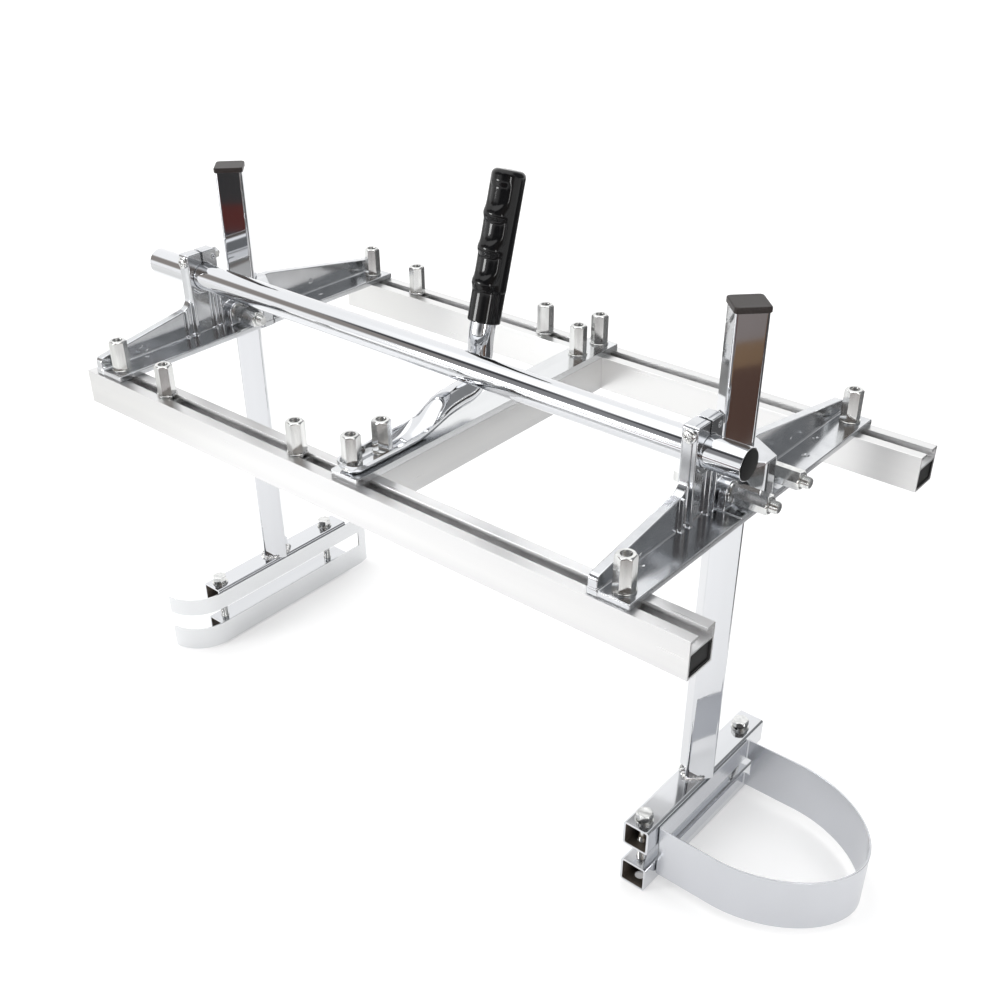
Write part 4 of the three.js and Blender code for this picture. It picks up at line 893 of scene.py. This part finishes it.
for side in ("left", "right"):
    node = side + "_post"
    low, high = corners(node)
    centre = middle(node, "z")
    jaw_low, jaw_high = corners(side + "_upper_jaw")
    walls = [diamond(centre, post_half, post_corner), diamond(centre, post_half - post_wall, post_bore_corner)]
    shape(node, "drawn", [prism("z", walls, low[2], high[2])], chrome_post, sharp=50)
    bead = weld_bead(centre, jaw_high[2], (jaw_low[0] + bead_inset, jaw_high[0] - bead_inset))
    shape(node, "weld", [bead], weld_bright, sharp=180, stands_in=False)

# Post caps. Dark brown-grey plastic cups, moulded and pushed over the posts' tops, each with a skirt
# round the tube and a flat lid that dishes very slightly.
cap_half, cap_bore, cap_height, cap_edge, cap_lip, cap_lid, cap_dish = 13.7, 12.8, 4.6, 1.1, 0.4, 2.6, 0.15
cap_corner, lid_corner = 2.9, 1.6
cap_plastic = plastic("cap_plastic", ((0.024, 0.019, 0.018), (0.036, 0.029, 0.027)), (0.32, 0.44),
                      grain=700.0, relief=0.03, shine=0.2)
for side in ("left", "right"):
    node = side + "_post_cap"
    top = corners(node)[1][2]
    foot = top - cap_height
    rows = [(cap_bore, top - cap_lid), (cap_bore, foot), (cap_half - cap_lip, foot), (cap_half, foot + cap_lip)]
    rows += [(cap_half - cap_edge * (1 - np.cos(turn)), top - cap_edge * (1 - np.sin(turn)))
             for turn in np.linspace(0, np.pi / 2, 6)]
    rows += [(cap_half - 3.0, top), (cap_half - 6.0, top - cap_dish)]
    loops = [set_out("z", *diamond(middle(node, "z"), half, cap_corner if half > 11 else lid_corner, 4).T, at)
             for half, at in rows]
    shape(node, "moulded", [skin(loops)], cap_plastic, sharp=40)

# Post clamps and studs. A cast bar with a V notch grips the post's free corner. Two zinc plated hexagon
# head bolts pull it in, each with a washer and a long nut on the bracket's boss.
stud_radius, stud_head, stud_pitch, stud_thread, stud_length, stud_chamfer = 5.0, 6.4, 1.5, 0.75, 14.0, 1.1
clamp_edge, clamp_nut_turn = 0.6, np.radians(22)


def dressed(node, finish, bevel):
    """A node's own faces, merged and cleared of seams between level triangles, with eased edges."""
    piece = frame["nodes"][node].copy()
    piece.data = frame["nodes"][node].data.copy()
    piece.name = piece.data.name = node + "_cast"
    piece.parent = None
    for key in list(piece.keys()):
        del piece[key]
    worked(piece.data, merged, lambda work: bmesh.ops.dissolve_limit(
        work, angle_limit=np.radians(1.0), verts=work.verts, edges=work.edges))
    piece.data.materials.clear()
    piece.data.shade_smooth()
    piece.data.set_sharp_from_angle(angle=np.radians(35.0))
    return dress(piece, node, finish, bevel)


for side in ("left", "right"):
    dressed(side + "_post_clamp", cast_bright, clamp_edge)
    for end in ("front", "rear"):
        node = side + "_clamp_stud_" + end
        low, high = corners(node)
        centre = middle(node, "x")
        seat_x, thread_x = low[0] + stud_head, high[0] - stud_length
        face = nut_flats / 2 - 0.4
        head = [(0.0, low[0]), (face, low[0])] + cone(face, nut_wide - nut_flats / 2 + 0.6, low[0], 0.9)
        head += [(nut_wide + 0.2, seat_x), (0.0, seat_x)]
        shank = [(0.0, seat_x - 0.5), (stud_radius, seat_x - 0.5), (stud_radius, thread_x)]
        shank += threaded(stud_radius, stud_thread, stud_pitch, thread_x, high[0], stud_chamfer, 72)
        bolt = [turned("x", centre, head, 72, nut_flats), turned("x", centre, shank + [(0.0, high[0])])]
        shape(node, "forged", bolt, zinc)
        node = side + "_clamp_nut_" + end
        low, high = corners(node)
        shape(node, "turned", long_nut("x", centre, low[0], high[0], False, clamp_nut_turn), zinc)

# Jaws. Square steel tube, chrome plated, cut square at both ends and drilled for the bolts that draw
# the lower jaw up against the saw's guide bar. The plating stops inside, where the steel is bare.
jaw_wall, jaw_corner, jaw_bore_corner, jaw_hole = 2.0, 2.5, 1.3, 4.4
bare_from = np.array([0.75 * jaw_wall, 0.1, 0.75 * jaw_wall])
chrome_jaw = surface("chrome_jaw", ((0.60, 0.61, 0.63), (0.68, 0.69, 0.71)), (0.05, 0.12),
                     stretch=(1.0, 0.06, 1.0), grain=260.0, mottle=16.0, wave=0.04)
bare_steel = surface("bare_steel", ((0.20, 0.175, 0.15), (0.34, 0.30, 0.26)), (0.42, 0.6),
                     grain=500.0, mottle=90.0, relief=0.01)


def jaw_tube(low, high, holes):
    """Square tube with round holes down through both flat walls: eased bands for the sides and
    corners, and the level walls cut into triangles round the holes, whose edges run down the wall."""
    walls = [eased(rectangle(low[::2], high[::2], inset), corner, 6)
             for inset, corner in ((0.0, jaw_corner), (jaw_wall, jaw_bore_corner))]
    points, blocks = prism("y", walls, low[1], high[1])
    parts, keep = [], []
    for quads in blocks[2:]:
        spans = np.ptp(points[quads], axis=1)
        level = (spans[:, 2] < 1e-6) & (spans[:, 0] > 2 * jaw_corner)
        keep.append(quads[~level])
        for quad in quads[level]:
            x0, x1, z = points[quad][:, 0].min(), points[quad][:, 0].max(), points[quad][0, 2]
            loops = [rectangle((x0, low[1]), (x1, high[1]))] + [hole + circle * jaw_hole for hole in holes]
            cut = np.array(tessellate_polygon([[(a, b, 0.0) for a, b in loop] for loop in loops]))
            parts.append((set_out("z", *np.vstack(loops).T, z), [cut]))
    parts.append((points, blocks[:2] + keep))
    for hole in holes:
        for z0, z1 in ((low[2], low[2] + jaw_wall), (high[2] - jaw_wall, high[2])):
            rims, bands = skin([set_out("z", *(hole + circle * jaw_hole).T, z) for z in (z0, z1)])
            parts.append((rims, bands[:1]))
    return parts


for side in ("left", "right"):
    holes = [middle(side + "_jaw_bolt_" + end, "z") for end in ("front", "rear")]
    for node in (side + "_upper_jaw", side + "_lower_jaw"):
        low, high = corners(node)
        jaw = shape(node, "drawn", jaw_tube(low, high, holes), chrome_jaw, sharp=40)
        second_finish(jaw, bare_steel, lambda at: (np.minimum(at - low, high - at) > bare_from).all(1))

# Jaw bolts and nuts. Zinc plated hexagon head bolts, threaded over most of their length, each with a
# split spring washer and a flat washer. Their nuts sit under the lower jaw's top wall.
jaw_flats, jaw_head, jaw_bolt_radius, jaw_thread, jaw_pitch, jaw_shank = 13.0, 5.3, 4.0, 0.6, 1.25, 22.0
flat_washer, flat_bore, flat_thick, flat_edge = 8.4, 4.2, 1.6, 0.2
spring_washer, spring_bore, spring_thick, spring_lift, spring_gap = 7.0, 4.4, 2.0, 0.5, np.radians(9.0)
jaw_wide = jaw_flats / 2 / hex_cosine + 0.2


def spring_ring(centre, base):
    """Split spring washer: a square section carried round one open turn that climbs from end to end,
    closed at both ends."""
    angle = (np.linspace(spring_gap, 2 * np.pi - spring_gap, 60) - np.pi / 2)[:, None]
    radius = np.array([spring_bore, spring_washer, spring_washer, spring_bore])
    height = base + np.array([0.1, 0.1, spring_thick - 0.6, spring_thick - 0.6])
    return skin(set_out("z", centre[0] + radius * np.cos(angle), centre[1] + radius * np.sin(angle),
                        height + np.linspace(0, spring_lift, 60)[:, None]))


for side in ("left", "right"):
    for end in ("front", "rear"):
        node = side + "_jaw_bolt_" + end
        low, high = corners(node)
        centre, under = middle(node, "z"), high[2] - jaw_head
        flat_top, thread_top = under - spring_thick, under - jaw_shank
        seat = flat_top - flat_thick
        head = [(0.0, under), (jaw_wide, under)] + cone(jaw_wide, -1.5, high[2] - 0.8, 0.8, (0.0, 0.33, 0.67, 1.0))
        head += [(jaw_flats / 2 - 1.6, high[2]), (jaw_flats / 2 - 2.2, high[2] - 0.25), (0.0, high[2] - 0.25)]
        washer = broken(flat_bore, flat_washer, seat, flat_top, flat_edge, 0.25)
        shank = [(0.0, under + 0.5), (jaw_bolt_radius, under + 0.5), (jaw_bolt_radius, thread_top)]
        shank += threaded(jaw_bolt_radius, jaw_thread, jaw_pitch, thread_top, low[2], 0.9) + [(0.0, low[2])]
        bolt = [turned("z", centre, head, 72, jaw_flats), ring_of("z", centre, washer, 48),
                spring_ring(centre, flat_top), turned("z", centre, shank, 36)]
        shape(node, "forged", bolt, zinc)
        node = side + "_jaw_nut_" + end
        low, high = corners(node)
        nut = chamfered_nut("z", centre, low[2], high[2], jaw_flats, jaw_bolt_radius + 0.05, 1.0)
        shape(node, "pressed", [nut], zinc)

# Nose guard. A strap of sheet steel bent into a D and spot welded to the right upper jaw's outer face,
# slotted where the guide bar comes through. Bright satin, with its edges deburred.
sheet_thick, guard_bend, guard_slot_inset, guard_slot_wrap, guard_shift, guard_spread = 1.5, 3.0, 8.0, 7.0, -2.3, 1.2
guard_run, guard_power, guard_lift, guard_rise, sheet_edge = 97.0, 1.075, 9.9, 3.2, 0.3
rolled = dict(stretch=(1.0, 1.0, 0.25), grain=160.0, mottle=10.0)
satin_sheet = surface("satin_sheet", ((0.57, 0.582, 0.61), (0.61, 0.622, 0.65)), (0.25, 0.28), **rolled)


def points_at(x, y):
    """Points in plan from rows of values or single ones."""
    return np.stack(np.broadcast_arrays(x, y), -1)


def with_stop(values, stop, reach):
    """Rising values with a stop put among them in place of any nearer to it than a reach."""
    return np.sort(np.append(values[np.abs(values - stop) > reach], stop))


def levels(steps, *edges):
    """Rising heights, in a given number of steps between each edge and the next."""
    runs = [np.linspace(a, b, count) for a, b, count in zip(edges, edges[1:], steps)]
    return np.unique(np.concatenate(runs).round(4))


def strip_wall(node, outline, closed, heights, opened, finish, corner=None):
    """Upright sheet: an outline in plan carried up through heights, with the quads inside an opening
    left out, thickened inwards by a Solidify and with its cut edges eased."""
    points = np.stack(np.broadcast_arrays(outline[:, 0], outline[:, 1], heights[:, None]), -1)
    if corner:
        points = corner(points)
    quads = skin(points)[1][0].reshape(len(heights) - 1, len(outline), 4)
    quads = (quads if closed else quads[:, :-1]).reshape(-1, 4)
    quads = quads[~opened(*points.reshape(-1, 3)[quads].mean(1).T)]
    mesh = bpy.data.meshes.new(node + "_bent")
    mesh.from_pydata((points.reshape(-1, 3) / 1000.0).tolist(), [], quads.tolist())
    worked(mesh, lambda work: bmesh.ops.delete(
        work, geom=[vert for vert in work.verts if not vert.link_faces], context="VERTS"))
    mesh.shade_smooth()
    piece = bpy.data.objects.new(mesh.name, mesh)
    thick = piece.modifiers.new("sheet", "SOLIDIFY")
    thick.thickness, thick.offset = sheet_thick / 1000.0, -1.0
    return dress(piece, node, finish, sheet_edge)


low, high = corners("nose_guard")
low[2], high[2], high[0] = low[2] + guard_lift, high[2] + guard_rise, high[0] + guard_rise
guard_mid, guard_half = (low[1] + high[1]) / 2 + guard_shift, (high[1] - low[1]) / 2 + guard_spread
low[1], high[1] = guard_mid - guard_half, guard_mid + guard_half
leg_end = high[0] - guard_run
gap_low, gap_high = corners("right_lower_jaw")[1][2], corners("right_upper_jaw")[0][2]
turns = np.linspace(-np.pi / 2, np.pi / 2, 73)
far = points_at(leg_end + guard_run * np.abs(np.cos(turns)) ** guard_power,
                guard_mid + guard_half * np.sign(turns) * np.abs(np.sin(turns)) ** guard_power)
turns = np.linspace(np.pi, np.pi * 1.5, 7)
near_bend = points_at(low[0] + guard_bend + guard_bend * np.cos(turns),
                      low[1] + guard_bend + guard_bend * np.sin(turns))
rear_bend = (near_bend * (1, -1) + (0, 2 * guard_mid))[::-1]
slot_stop, slot_start = low[0] + guard_slot_wrap, low[1] + guard_slot_inset
leg = with_stop(np.linspace(low[0] + guard_bend, leg_end, 22)[1:-1], slot_stop, 1.0)
back_run = with_stop(np.linspace(high[1] - guard_bend, low[1] + guard_bend, 40)[1:-1], slot_start, 1.5)[::-1]
outline = np.vstack([near_bend, points_at(leg, low[1]), far, points_at(leg[::-1], high[1]), rear_bend,
                     points_at(low[0], back_run)])
strip_wall("nose_guard", outline, True, levels((8, 5, 5), low[2], gap_low, gap_high, high[2]),
           lambda x, y, z: (z > gap_low) & (z < gap_high) & (x < slot_stop) & (y > slot_start), satin_sheet)

# Skid plate. Sheet steel spot welded to the left jaws, its near end curled back so that it rides over
# bark, its far end kicked in and cut off at the top corner, and slotted for the guide bar.
skid_run, skid_bend, skid_curl, skid_kick, skid_kick_length = 222.0, 42.0, np.radians(86.0), 3.0, 12.0
skid_slot_inset, skid_slot_rise, skid_chamfer = 14.0, 2.5, 19.0
pale_sheet = surface("pale_sheet", ((0.68, 0.69, 0.70), (0.73, 0.74, 0.75)), (0.21, 0.25), **rolled)
low, high = corners("skid_plate")
gap_low = corners("left_lower_jaw")[1][2] + skid_slot_rise
gap_high = corners("left_upper_jaw")[0][2] + skid_slot_rise
outer_x, bend_y, kick_y = high[0], high[1] - skid_run, high[1] - skid_kick_length
curl = -np.linspace(skid_curl, 0, 41)
slot_end = high[1] - skid_slot_inset
straight = with_stop(np.linspace(bend_y, kick_y, 48)[1:], slot_end, 1.0)
kicked = np.linspace(0, 1, 6)[1:]
outline = np.vstack([points_at(outer_x - skid_bend + skid_bend * np.cos(curl), bend_y + skid_bend * np.sin(curl)),
                     points_at(outer_x, straight),
                     points_at(outer_x - skid_kick * kicked, high[1] - skid_kick_length * (1 - kicked))])


def skid_corner(points):
    """Draws the top down towards the far end, to leave the corner cut off at 45 degrees."""
    top = np.maximum(high[2] - np.maximum(points[..., 1] - (high[1] - skid_chamfer), 0), gap_high + 0.3)
    share = np.clip((points[..., 2] - gap_high) / (high[2] - gap_high), 0, 1)
    z = np.where(points[..., 2] > gap_high, gap_high + share * (top - gap_high), points[..., 2])
    return np.stack([points[..., 0], points[..., 1], z], -1)


strip_wall("skid_plate", outline, False, levels((6, 5, 8), low[2], gap_low, gap_high, high[2]),
           lambda x, y, z: (z > gap_low) & (z < gap_high) & (y < slot_end), pale_sheet, skid_corner)
